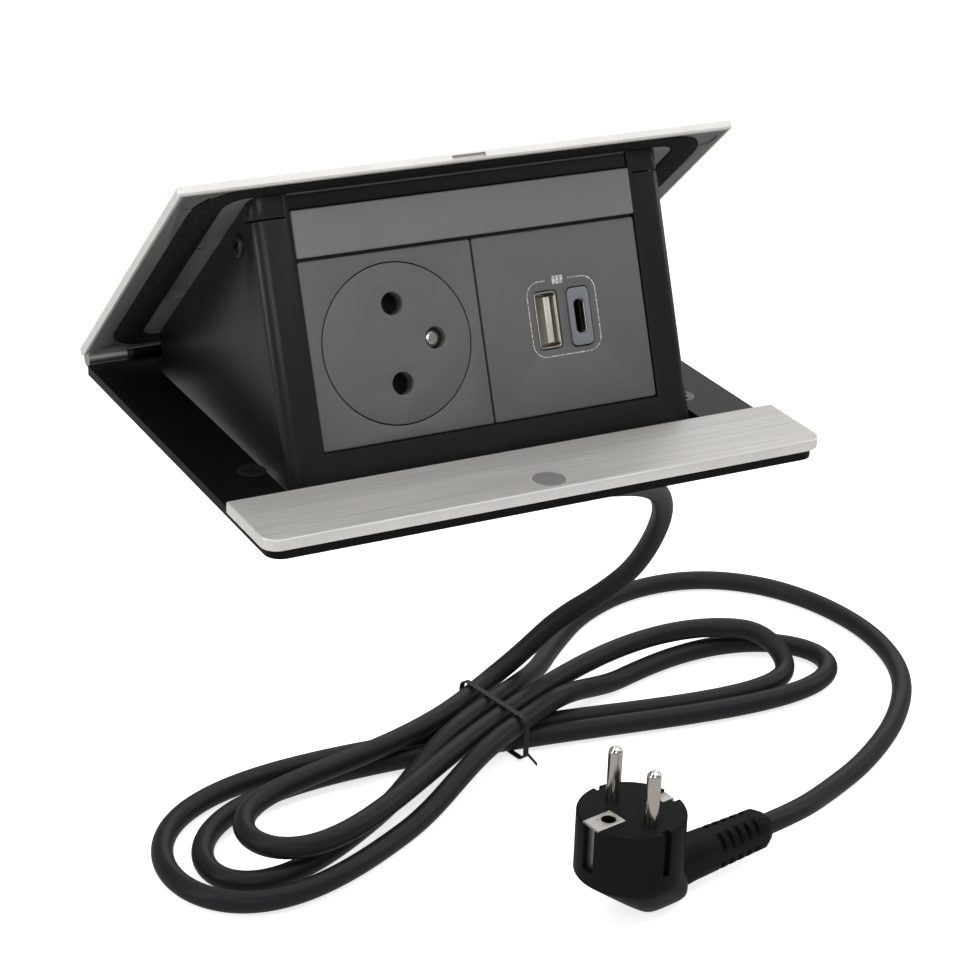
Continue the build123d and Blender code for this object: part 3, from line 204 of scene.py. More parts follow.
@dataclass
class Dresser:
    """Makes each finish's material once.

    Args:
        rough_shares: how far the roughness moves, as shares of its mean.
        relief_strength: the strength of the relief.
        brushed_pull: how far a brushed finish stretches its highlights.
        tint_range: the noise values between which the colour moves.
        detail: how many finer layers each noise has.
        made: the materials so far, by name.
    """

    rough_shares: Span = (0.84, 1.18)
    relief_strength: float = 0.7
    brushed_pull: float = 0.3
    tint_range: Span = (0.36, 0.64)
    detail: float = 3.0
    made: dict[str, bpy.types.Material] = field(default_factory=dict)

    def material(self, finish: Finish) -> bpy.types.Material:
        """Returns the material of a finish.

        Args:
            finish: the finish to make.

        Returns:
            The material, made on first use.
        """
        if finish.name not in self.made:
            self.made[finish.name] = self._build(finish)
            log.info("finish %s", finish.name)
        return self.made[finish.name]

    def _build(self, finish: Finish) -> bpy.types.Material:
        """Builds a finish's node tree.

        Args:
            finish: the finish to build.

        Returns:
            The new material.
        """
        material = bpy.data.materials.new(finish.name)
        material.use_nodes = True
        tree = material.node_tree
        shader = tree.nodes["Principled BSDF"]
        shader.inputs["Metallic"].default_value = finish.metallic
        shader.inputs["Specular IOR Level"].default_value = finish.specular
        place = tree.nodes.new("ShaderNodeTexCoord").outputs["Object"]
        weave = WEAVES[finish.pattern]
        fine, broad, relief = (
            self._noise(tree, place, scale) for scale in (weave.fine, weave.broad, weave.relief)
        )
        self._tint(tree, finish, broad, fine)
        spread = tree.nodes.new("ShaderNodeMapRange")
        spread.inputs["To Min"].default_value = finish.roughness * self.rough_shares[0]
        spread.inputs["To Max"].default_value = min(1.0, finish.roughness * self.rough_shares[1])
        tree.links.new(fine, spread.inputs["Value"])
        tree.links.new(spread.outputs["Result"], shader.inputs["Roughness"])
        bump = tree.nodes.new("ShaderNodeBump")
        bump.inputs["Distance"].default_value = finish.bump
        bump.inputs["Strength"].default_value = self.relief_strength
        tree.links.new(relief, bump.inputs["Height"])
        tree.links.new(bump.outputs["Normal"], shader.inputs["Normal"])
        if finish.pattern is Pattern.BRUSHED:
            shader.inputs["Anisotropic"].default_value = self.brushed_pull
        return material

    def _noise(
        self, tree: bpy.types.NodeTree, place: bpy.types.NodeSocket, scale: Point
    ) -> bpy.types.NodeSocket:
        """Adds a noise texture that is stretched along the axes.

        Args:
            tree: the material's tree.
            place: the coordinates that it reads.
            scale: its scale along each axis, per metre.

        Returns:
            The noise's output.
        """
        mapping = tree.nodes.new("ShaderNodeMapping")
        mapping.inputs["Scale"].default_value = scale
        tree.links.new(place, mapping.inputs["Vector"])
        noise = tree.nodes.new("ShaderNodeTexNoise")
        noise.inputs["Scale"].default_value = 1.0
        noise.inputs["Detail"].default_value = self.detail
        tree.links.new(mapping.outputs["Vector"], noise.inputs["Vector"])
        return noise.outputs["Fac"]

    def _tint(
        self,
        tree: bpy.types.NodeTree,
        finish: Finish,
        broad: bpy.types.NodeSocket,
        fine: bpy.types.NodeSocket,
    ) -> None:
        """Varies the colour a little with the mean of two noises.

        Args:
            tree: the material's tree.
            finish: the finish with the colour.
            broad: the broad noise.
            fine: the fine noise.
        """
        mix = tree.nodes.new("ShaderNodeMix")
        mix.data_type = "RGBA"
        both = tree.nodes.new("ShaderNodeMath")
        both.operation = "ADD"
        half = tree.nodes.new("ShaderNodeMath")
        half.operation = "MULTIPLY"
        half.inputs[1].default_value = 1 / 2
        tree.links.new(broad, both.inputs[0])
        tree.links.new(fine, both.inputs[1])
        tree.links.new(both.outputs[0], half.inputs[0])
        spread = tree.nodes.new("ShaderNodeMapRange")
        spread.inputs["From Min"].default_value = self.tint_range[0]
        spread.inputs["From Max"].default_value = self.tint_range[1]
        tree.links.new(half.outputs[0], spread.inputs["Value"])
        tree.links.new(spread.outputs["Result"], mix.inputs[0])
        swing = WEAVES[finish.pattern].swing
        low = [max(0.0, part * (1 - swing)) for part in finish.colour]
        high = [min(1.0, part * (1 + swing)) for part in finish.colour]
        mix.inputs[MIX_LOW].default_value = (*low, 1)
        mix.inputs[MIX_HIGH].default_value = (*high, 1)
        tree.links.new(mix.outputs[MIX_RESULT], tree.nodes["Principled BSDF"].inputs["Base Color"])


@dataclass
class Shop:
    """Builds solids in millimetres and turns them into dressed pieces.

    Args:
        dresser: what makes the materials.
        sharp_angle: the turn past which an edge is shaded sharp, in degrees.
    """

    dresser: Dresser
    sharp_angle: float = 32.0

    def mesh(self, build: bmesh.types.BMesh) -> bpy.types.Object:
        """Makes an object of a bmesh, with its faces outward.

        Args:
            build: the bmesh, which is freed.

        Returns:
            The new object.
        """
        bmesh.ops.recalc_face_normals(build, faces=build.faces)
        data = bpy.data.meshes.new("blank")
        build.to_mesh(data)
        build.free()
        made = bpy.data.objects.new("blank", data)
        bpy.context.scene.collection.objects.link(made)
        return made

    def prism(self, outline: Outline, low: float, high: float) -> bpy.types.Object:
        """A straight prism over an outline.

        Args:
            outline: its points in X and Y.
            low: its lower end along Z.
            high: its upper end.

        Returns:
            The solid.
        """
        return self.loft([[(x, y, z) for x, y in outline] for z in (low, high)])

    def loft(self, rings: list[list[Point]]) -> bpy.types.Object:
        """A closed skin through rings of as many points each.

        Args:
            rings: the rings, from one end to the other.

        Returns:
            The solid.
        """
        build = bmesh.new()
        made = [[build.verts.new(point) for point in ring] for ring in rings]
        build.faces.new(list(reversed(made[0])))
        build.faces.new(made[-1])
        count = len(rings[0])
        for lower, upper in zip(made, made[1:]):
            for index in range(count):
                after = (index + 1) % count
                build.faces.new((lower[index], lower[after], upper[after], upper[index]))
        return self.mesh(build)

    def box(self, x: Span, y: Span, z: Span) -> bpy.types.Object:
        """A box between limits."""
        return self.prism([(x[0], y[0]), (x[1], y[0]), (x[1], y[1]), (x[0], y[1])], z[0], z[1])

    def rod(self, x: float, y: float, z: Span, radius: float, sides: int = 64) -> bpy.types.Object:
        """An upright cylinder."""
        return self.prism(circle(x, y, radius, sides), z[0], z[1])

    def turned(self, profile: Outline, sides: int = 64) -> bpy.types.Object:
        """A turned solid about Z from a profile of radius and height."""
        return self.loft([[(x, y, z) for x, y in circle(0, 0, r, sides)] for r, z in profile])

    def place(self, solid: bpy.types.Object, frame: Matrix) -> bpy.types.Object:
        """Moves a solid's mesh by a frame."""
        solid.data.transform(frame)
        return solid

    def combine(self, body: bpy.types.Object, tools: list, operation: str) -> bpy.types.Object:
        """Joins or cuts a solid with others.

        Args:
            body: the solid that stays.
            tools: the others, which are used up.
            operation: UNION or DIFFERENCE.

        Returns:
            The solid.
        """
        for tool in tools:
            modifier = body.modifiers.new("tool", "BOOLEAN")
            modifier.solver = "EXACT"
            modifier.operation = operation
            modifier.object = tool
        self.apply(body)
        for tool in tools:
            data = tool.data
            bpy.data.objects.remove(tool)
            bpy.data.meshes.remove(data)
        return body

    def apply(self, body: bpy.types.Object) -> None:
        """Replaces a solid's mesh by what its modifiers make of it.

        Args:
            body: the solid, which loses its modifiers.
        """
        data = settled_mesh(body)
        body.modifiers.clear()
        old = body.data
        body.data = data
        bpy.data.meshes.remove(old)

    def soften(
        self, body: bpy.types.Object, width: float, segments: int = 2, angle: float = 35.0
    ) -> bpy.types.Object:
        """Rounds a solid's edges.

        Args:
            body: the solid.
            width: how far the rounding reaches from the edge.
            segments: its steps.
            angle: the turn past which an edge is rounded, in degrees.

        Returns:
            The solid.
        """
        modifier = body.modifiers.new("edge", "BEVEL")
        modifier.width = width
        modifier.segments = segments
        modifier.limit_method = "ANGLE"
        modifier.angle_limit = math.radians(angle)
        modifier.harden_normals = False
        self.apply(body)
        return body

    def piece(
        self,
        body: bpy.types.Object,
        name: str,
        finish: Finish,
        rides: str,
        frame: Matrix,
        nodes: tuple[str, ...] = (),
    ) -> bpy.types.Object:
        """Turns a solid into a finished piece of the scene.

        Args:
            body: the solid, in millimetres in its frame.
            name: the piece's name.
            finish: its finish.
            rides: the body that it moves with.
            frame: its frame in the part.
            nodes: the CAD nodes that it stands for.

        Returns:
            The finished object.
        """
        body.name = name
        body.data.name = name
        body.data.transform(Matrix.Scale(MM, 4) @ frame)
        for polygon in body.data.polygons:
            polygon.use_smooth = True
        body.data.set_sharp_from_angle(angle=math.radians(self.sharp_angle))
        body.data.materials.clear()
        body.data.materials.append(self.dresser.material(finish))
        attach(body, rides)
        if nodes:
            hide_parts(*nodes)
        log.info("piece %s: %d faces", name, len(body.data.polygons))
        return body

    def paint_edge_highlight(self, piece: bpy.types.Object) -> None:
        """Paints a highlight on a brushed piece's bevels and sides with a lighter copy of its metal.

        Args:
            piece: the finished piece.
        """
        piece.data.materials.append(self.dresser.material(ALUMINIUM_EDGE_HIGHLIGHT))
        largest = max(piece.data.polygons, key=lambda polygon: polygon.area)
        normal = largest.normal.copy()
        # Faces turned away from the main face get the painted highlight.
        for polygon in piece.data.polygons:
            if abs(polygon.normal.dot(normal)) < EDGE_HIGHLIGHT_LIMIT:
                polygon.material_index = 1


def settled_mesh(body: bpy.types.Object) -> bpy.types.Mesh:
    """Makes a plain mesh of what an object's modifiers make of it.

    Args:
        body: the object.

    Returns:
        The new mesh.
    """
    bpy.context.view_layer.update()
    graph = bpy.context.evaluated_depsgraph_get()
    return bpy.data.meshes.new_from_object(body.evaluated_get(graph))


def mirrored(side: int, near: float, far: float) -> Span:
    """The limits of a span on one side of the middle, the low one first."""
    return tuple(sorted((side * near, side * far)))


def circle(x: float, y: float, radius: float, sides: int = 64) -> Outline:
    """A circle's outline."""
    turns = [2 * math.pi * index / sides for index in range(sides)]
    return [(x + radius * math.cos(turn), y + radius * math.sin(turn)) for turn in turns]


def rounded(x: Span, y: Span, radii: float | tuple, steps: int = 8) -> Outline:
    """A rectangle with rounded corners.

    Args:
        x: its limits along X.
        y: its limits along Y.
        radii: one corner radius, or four from low X and low Y turning anticlockwise.
        steps: segments to a corner.

    Returns:
        The outline's points, anticlockwise.
    """
    four = radii if isinstance(radii, tuple) else (radii,) * 4
    corners = (
        (x[0], y[0], 1, 1, 180),
        (x[1], y[0], -1, 1, 270),
        (x[1], y[1], -1, -1, 0),
        (x[0], y[1], 1, -1, 90),
    )
    points = []
    for (cx, cy, sx, sy, start), radius in zip(corners, four):
        centre = (cx + sx * radius, cy + sy * radius)
        for step in range(steps + 1):
            turn = math.radians(start + 90 * step / steps)
            points.append((centre[0] + radius * math.cos(turn), centre[1] + radius * math.sin(turn)))
    return points


def squircle(half: Span, power: float, sides: int = 96) -> Outline:
    """A closed outline between an ellipse and a rectangle.

    Args:
        half: its half sizes.
        power: 2 for an ellipse, and more for squarer corners.
        sides: its points.

    Returns:
        The outline's points.
    """
    points = []
    for index in range(sides):
        turn = 2 * math.pi * index / sides
        c, s = math.cos(turn), math.sin(turn)
        x = half[0] * math.copysign(abs(c) ** (2 / power), c)
        y = half[1] * math.copysign(abs(s) ** (2 / power), s)
        points.append((x, y))
    return points


def dome(radius: float, top: float, rounding: float, steps: int = 8) -> Outline:
    """The last rings of a rod whose end is rounded.

    Args:
        radius: the rod's radius.
        top: the height of its end.
        rounding: the radius of the rounding.
        steps: the rounding's steps.

    Returns:
        Each ring's radius and height.
    """
    rings = []
    for step in range(steps + 1):
        turn = math.pi / 2 * step / steps
        inward, down = 1 - math.cos(turn), 1 - math.sin(turn)
        rings.append((radius - rounding * inward, top - rounding * down))
    return rings


def frame_of(origin: Point, x: Point, y: Point, z: Point) -> Matrix:
    """A frame from its origin and axes, in millimetres."""
    rows = [(x[i], y[i], z[i], origin[i]) for i in range(3)]
    return Matrix((*rows, (0, 0, 0, 1)))


WORLD = Matrix.Identity(4)
LID = frame_of(
    HINGE,
    (1, 0, 0),
    (0, math.cos(SWING), -math.sin(SWING)),
    (0, math.sin(SWING), math.cos(SWING)),
)
FACE_FRAME = frame_of(
    FACE,
    (1, 0, 0),
    (0, math.sin(LEAN), math.cos(LEAN)),
    (0, -math.cos(LEAN), math.sin(LEAN)),
)
# SIDEWAYS takes an outline in X and Y to Y and Z, and UPRIGHT takes it to X and Z.
SIDEWAYS = frame_of((0, 0, 0), (0, 1, 0), (0, 0, 1), (1, 0, 0))
UPRIGHT = frame_of((0, 0, 0), (1, 0, 0), (0, 0, 1), (0, 1, 0))


def point_in(frame: Matrix, x: float, y: float, z: float) -> Point:
    """A frame's point in the part, in metres."""
    return tuple(MM * (frame @ Vector((x, y, z))))


@dataclass
class Base:
    """The base plate with its screw seats, lips and barrel, and the strip with its button.

    Args:
        shop: what builds the pieces.
        length: the plate's limits along Y.
        cutout: the opening's limits along X and Y, and its corner.
        cut_z: how far cuts through the plate reach, below and above.
        pocket: the hollow under the button.
        lip_inner: where a lip starts, from the middle.
        lip_root: how far a lip reaches up into the plate.
        lip_depth: how far the lips at the opening's rear corners hang down.
        relief: the radius and height of the hollow under each screw.
        seat: the screw seat's radius and height at its foot and at its rim.
        knuckles: the barrel's lengths along X.
        channel: the latch's way under the strip.
        mouth: where the latch bolt comes out.
        web_foot: the lower side of the webs that carry the barrel.
        button_sunk: how far the button lies below the strip's top.
        cam: the limits of one of the button's cams, on its right.
    """

    shop: Shop
    half_width: float = 72.0
    length: Span = (-42.2, 78.0)
    thickness: float = 2.4
    corner: float = 4.0
    rear_corner: float = 0.8
    edge: float = 0.25
    cut_z: Span = (-1.0, 4.0)
    cutout: tuple = ((-56.0, 56.0), (-16.5, 74.5), 2.0)
    pocket: Box = ((-5.3, 5.3), (-41.6, -33.6), (1.2, 4.0))
    lip_inner: float = 44.0
    lip_wall: float = 1.2
    lip_depth: float = 4.5
    lip_root: float = 0.5
    screw_x: float = 59.0
    screw_hole: float = 2.05
    relief: Span = (4.2, 0.7)
    seat: tuple = ((2.05, 0.7), (3.9, 2.55))
    knuckles: tuple = ((-59.2, -32), (-16, 16), (32, 59.2))
    barrel_radius: float = 2.1
    barrel_sides: int = 40
    web_foot: float = 1.0
    web_overlap: float = 0.2
    strip_half: float = 73.35
    strip_y: Span = (-43.0, -19.4)
    strip_top: float = 5.3
    strip_rear_corner: float = 0.5
    strip_edge: float = 0.42
    channel: Box = ((-6.7, 6.7), (-41.8, -20.3), (0, 3.85))
    mouth: Box = ((-4.2, 4.2), (-24, -10), (0, 4.6))
    button_y: float = -37.6
    button_radius: float = 3.8
    button_gap: float = 0.12
    button_foot: float = 2.5
    button_sunk: float = 0.02
    button_edge: float = 0.12
    button_cut_top: float = 9.0
    cam: Box = ((2, 5), (-38.2, -36.0), (2.5, 3.7))

    def build(self) -> None:
        """Builds the plate, the strip and the button."""
        self._plate()
        self._strip()
        self._button()

    def _plate(self) -> None:
        """Builds the base plate with its barrel."""
        shop = self.shop
        corners = (self.corner, self.corner, self.rear_corner, self.rear_corner)
        outline = rounded((-self.half_width, self.half_width), self.length, corners)
        plate = shop.prism(outline, 0, self.thickness)
        cuts = [shop.prism(rounded(*self.cutout), *self.cut_z), shop.box(*self.pocket)]
        for side in SIDES:
            x = side * self.screw_x
            radius, height = self.relief
            cuts.append(shop.rod(x, 0, self.cut_z, self.screw_hole))
            cuts.append(shop.rod(x, 0, (self.cut_z[0], height), radius))
            cuts.append(shop.loft([[(*point, z) for point in circle(x, 0, r)] for r, z in self.seat]))
        shop.combine(plate, cuts, "DIFFERENCE")
        shop.soften(plate, self.edge)
        shop.combine(plate, [*self._barrel(), *self._lips()], "UNION")
        shop.piece(plate, "base_plate_look", BASE_BLACK, "frame", WORLD, ("base_plate",))

    def _barrel(self) -> list[bpy.types.Object]:
        """The barrel's knuckles, each with the web that carries it.

        Returns:
            The solids.
        """
        shop = self.shop
        parts = []
        web_y = (self.length[1] - self.web_overlap, HINGE[1])
        for ends in self.knuckles:
            ring = circle(HINGE[1], HINGE[2], self.barrel_radius, self.barrel_sides)
            parts.append(shop.box(ends, web_y, (self.web_foot, self.thickness)))
            parts.append(shop.place(shop.prism(ring, *ends), SIDEWAYS))
        return parts

    def _lips(self) -> list[bpy.types.Object]:
        """The lips at the opening's rear corners.

        Returns:
            The solids.
        """
        (_, outer), (_, rear), _ = self.cutout
        y, z = (rear, rear + self.lip_wall), (-self.lip_depth, self.lip_root)
        return [self.shop.box(mirrored(side, self.lip_inner, outer), y, z) for side in SIDES]

    def _strip(self) -> None:
        """Builds the brushed strip."""
        shop = self.shop
        corners = (self.corner, self.corner, self.strip_rear_corner, self.strip_rear_corner)
        outline = rounded((-self.strip_half, self.strip_half), self.strip_y, corners)
        strip = shop.prism(outline, self.thickness, self.strip_top)
        hole_radius = self.button_radius + self.button_gap
        hole = shop.rod(0, self.button_y, (0, self.button_cut_top), hole_radius)
        cuts = [hole, shop.box(*self.channel), shop.box(*self.mouth)]
        shop.soften(strip, self.strip_edge, segments=3)
        shop.combine(strip, cuts, "DIFFERENCE")
        strip = shop.piece(strip, "front_strip_look", ALUMINIUM, "frame", WORLD, ("front_strip",))
        shop.paint_edge_highlight(strip)

    def _button(self) -> None:
        """Builds the release button with its cams."""
        shop = self.shop
        span = (self.button_foot, self.strip_top - self.button_sunk)
        button = shop.rod(0, self.button_y, span, self.button_radius)
        near_far, y, z = self.cam
        cams = [shop.box(mirrored(side, *near_far), y, z) for side in SIDES]
        shop.combine(button, cams, "UNION")
        shop.soften(button, self.button_edge)
        node = ("release_button",)
        shop.piece(button, "release_button_look", BUTTON_GREY, "button", WORLD, node)


@dataclass
class Lid:
    """The lid's skin, liner and gasket, in the lid's own frame.

    Args:
        shop: what builds the pieces.
        reach: how far the skin lies from the hinge, near and far.
        rim: the wall round the skin's hollow.
        under: how far cuts reach below the lid.
        pocket: the hollow's height under the skin.
        arm_x: the limits of the skin's slot for a hinge arm.
        catch_x: half the slot that the latch bolt enters.
        arm_cut: the liner's cut for a hinge arm, from the middle, along Y and along Z.
        marks: place and radius of each round moulding mark.
        corner_mark: inset and radius of the mark in each front corner.
        foam: the ring's outer limits along X and Y, its corner and the corner's steps.
        foam_hole: the same of its inside.
    """

    shop: Shop
    half: float = 73.35
    reach: Span = (2.5, 99.4)
    thickness: float = 2.3
    front_corner: float = 0.5
    rear_corner: float = 0.8
    bevel: float = 0.4
    rim: float = 1.1
    pocket: float = 1.6
    under: float = -1.0
    arm_x: Span = (60.75, 71.25)
    arm_y: Span = (-2.0, 1.0)
    catch_x: float = 4.4
    catch_y: Span = (-1.0, 0.8)
    catch_foot: float = 0.45
    liner_gap: float = 0.1
    liner_corner: float = 0.6
    liner_foot: float = 0.05
    liner_edge: float = 0.12
    arm_inner: float = 60.7
    arm_overrun: float = 2.0
    arm_cut: tuple = ((-5.5, 2.0), (-1.0, 3.0))
    marks: tuple = ((57.2, -38.6, 3.2), (57.2, -68.0, 3.2))
    corner_mark: Span = (4.6, 3.6)
    rear_mark: Point = (63.4, -9.3, 3.0)
    mark_roof: float = 0.38
    mark_sides: int = 40
    foam: tuple = ((-68, 68), (-98, -6.2), 11.0, 10)
    foam_hole: tuple = ((-60, 60), (-93.3, -11.6), 5.0, 8)
    foam_z: Span = (-0.3, 0.4)
    foam_cut: Span = (-2.0, 2.0)
    foam_edge: float = 0.22
    foam_fill: float = 0.9

    def build(self) -> None:
        """Builds the three pieces."""
        self._skin()
        self._liner()
        self._gasket()

    def _skin(self) -> None:
        """Builds the brushed tray."""
        shop = self.shop
        front, back = -self.reach[1], -self.reach[0]
        corners = (self.front_corner, self.front_corner, self.rear_corner, self.rear_corner)
        outline = rounded((-self.half, self.half), (front, back), corners)
        skin = shop.prism(outline, 0, self.thickness)
        shop.soften(skin, self.bevel, segments=1)
        inner = self.half - self.rim
        hollow = (self.under, self.pocket)
        cuts = [shop.box((-inner, inner), (front + self.rim, back - self.rim), hollow)]
        arm_y = (back + self.arm_y[0], back + self.arm_y[1])
        cuts += [shop.box(mirrored(side, *self.arm_x), arm_y, hollow) for side in SIDES]
        catch_y = (front + self.catch_y[0], front + self.catch_y[1])
        catch_z = (self.catch_foot, self.pocket)
        cuts.append(shop.box((-self.catch_x, self.catch_x), catch_y, catch_z))
        shop.combine(skin, cuts, "DIFFERENCE")
        skin = shop.piece(skin, "lid_skin_look", ALUMINIUM, "lid", LID, ("lid_skin",))
        shop.paint_edge_highlight(skin)

    def _liner(self) -> None:
        """Builds the moulded liner with its moulding marks."""
        shop = self.shop
        inset = self.rim + self.liner_gap
        edge = self.half - inset
        front, back = -self.reach[1] + inset, -self.reach[0] - inset
        outline = rounded((-edge, edge), (front, back), self.liner_corner)
        liner = shop.prism(outline, self.liner_foot, self.pocket)
        corner_inset, corner_radius = self.corner_mark
        corner_mark = (edge - corner_inset, front + corner_inset, corner_radius)
        cuts = []
        for side in SIDES:
            arm_x = mirrored(side, self.arm_inner, edge + self.arm_overrun)
            cuts.append(shop.box(arm_x, *self.arm_cut))
            for x, y, radius in (*self.marks, corner_mark, self.rear_mark):
                mark_z = (self.under, self.mark_roof)
                cuts.append(shop.rod(side * x, y, mark_z, radius, self.mark_sides))
        shop.combine(liner, cuts, "DIFFERENCE")
        shop.soften(liner, self.liner_edge)
        shop.piece(liner, "lid_liner_look", LINER_GREY, "lid", LID, ("lid_liner",))

    def _gasket(self) -> None:
        """Builds the foam ring."""
        shop = self.shop
        ring = shop.prism(rounded(*self.foam), *self.foam_z)
        hole = shop.prism(rounded(*self.foam_hole), *self.foam_cut)
        shop.combine(ring, [hole], "DIFFERENCE")
        shop.soften(ring, self.foam_edge)
        ring = shop.piece(ring, "lid_gasket_look", FOAM_BLACK, "lid", LID, ("lid_gasket",))


@dataclass
class Block:
    """The block's housing with its tabs and filler bar.

    Args:
        shop: what builds the pieces.
        half: half the housing's width.
        column: the rounding of the two columns beside the window.
        foot: where the face starts below the modules.
        brow: where the face ends above them.
        heel: the housing's rear corner, in the lid's frame.
        belly: the underside's points in Y and Z, from front to back.
        window: the opening for the modules, in the face's frame.
        hollow_x: the limits along the face of the room behind it.
        hollow_depth: how deep that room reaches.
        brow_cut: the step over the filler bar.
        notch: the seat of a corner tab: its outer limit, foot and top.
        under_lid: the lid's room, in its own frame, which the tabs keep out of.
        bar: the filler bar's limits along X and Y, its corner and the corner's steps.
    """

    shop: Shop
    half: float = 54.5
    column: float = 3.0
    column_steps: int = 10
    wall: float = 2.2
    foot: float = -9.0
    brow: float = 60.56
    heel: float = -12.0
    belly: tuple = ((9.0, -9.6), (61.0, -9.6), (69.0, -1.6))
    window: Box = ((-45.3, 45.3), (-0.4, 56.8), (-10, 5))
    hollow_x: Span = (-52.3, 52.3)
    hollow_y: Span = (-4.0, 58.0)
    hollow_depth: float = 34.0
    brow_cut: Box = ((-45.3, 45.3), (56.7, 66), (-1.3, 5))
    edge: float = 0.28
    near: float = 0.01
    notch: Point = (60.0, 55.0, 66.0)
    notch_front: float = 5.0
    tab_inner: float = 46.4
    tab_depth: float = 6.0
    tab_corner: float = 0.2
    tab_gap: float = 0.35
    tab_edge: float = 0.25
    under_lid: Box = ((-80, 80), (-110, 10), (0, 40))
    bar: tuple = ((-45.0, 45.0), (45.3, 56.5), 0.4, 3)
    bar_z: Span = (-2.2, 0.6)
    bar_edge: float = 0.4

    def build(self) -> None:
        """Builds the pieces."""
        self._housing()
        for side, word in zip(SIDES, ("left", "right")):
            self._tab(side, word)
        self._bar()

    def _profile(self) -> Outline:
        """The side outline, from the face's foot round the belly to the brow.

        Returns:
            Its points in Y and Z.
        """
        foot = FACE_FRAME @ Vector((0, self.foot, 0))
        top = FACE_FRAME @ Vector((0, self.brow, 0))
        heel = LID @ Vector((0, self.heel, 0))
        return [(foot.y, foot.z), *self.belly, (heel.y, heel.z), (top.y, top.z)]

    def _round_columns(self, shell: bpy.types.Object) -> None:
        """Rounds the two upright edges of the housing's face.

        Args:
            shell: the housing's solid.
        """
        build = bmesh.new()
        build.from_mesh(shell.data)
        inverse = FACE_FRAME.inverted()
        chosen = []
        for line in build.edges:
            ends = [inverse @ vert.co for vert in line.verts]
            on_face = all(abs(end.z) < self.near for end in ends)
            if on_face and abs(ends[0].x - ends[1].x) < self.near:
                chosen.append(line)
        bmesh.ops.bevel(
            build, geom=chosen, offset=self.column, segments=self.column_steps, profile=0.5,
            affect="EDGES",
        )
        build.to_mesh(shell.data)
        build.free()

    def _housing(self) -> None:
        """Builds the shell with its window."""
        shop = self.shop
        shell = shop.place(shop.prism(self._profile(), -self.half, self.half), SIDEWAYS)
        self._round_columns(shell)
        hollow = (self.hollow_x, self.hollow_y, (-self.hollow_depth, -self.wall))
        outer, low, high = self.notch
        notch_z = (-self.tab_depth, self.notch_front)
        boxes = [self.window, hollow, self.brow_cut]
        boxes += [(mirrored(side, self.tab_inner, outer), (low, high), notch_z) for side in SIDES]
        cuts = [shop.place(shop.box(*limits), FACE_FRAME) for limits in boxes]
        shop.combine(shell, cuts, "DIFFERENCE")
        shop.soften(shell, self.edge)
        node = ("block_housing",)
        shop.piece(shell, "block_housing_look", BLOCK_BLACK, "lid", WORLD, node)

    def _tab(self, side: int, word: str) -> None:
        """Builds one corner tab.

        Args:
            side: -1 for the left one and 1 for the right one.
            word: left or right.
        """
        shop = self.shop
        _, low, high = self.notch
        small = self.tab_corner
        radii = (small, small, self.column, small) if side > 0 else (small, small, small, self.column)
        outline = rounded(mirrored(side, self.tab_inner, self.half), (-self.tab_depth, 0), radii)
        tab = shop.prism(outline, low + self.tab_gap, high)
        shop.place(tab, FACE_FRAME @ UPRIGHT)
        shop.combine(tab, [shop.place(shop.box(*self.under_lid), LID)], "DIFFERENCE")
        shop.soften(tab, self.tab_edge)
        name = f"corner_tab_{word}"
        shop.piece(tab, f"{name}_look", BLOCK_BLACK, "lid", WORLD, (name,))

    def _bar(self) -> None:
        """Builds the filler bar."""
        shop = self.shop
        bar = shop.prism(rounded(*self.bar), *self.bar_z)
        shop.soften(bar, self.bar_edge, segments=3)
        shop.piece(bar, "filler_bar_look", BAR_GREY, "lid", FACE_FRAME, ("filler_bar",))


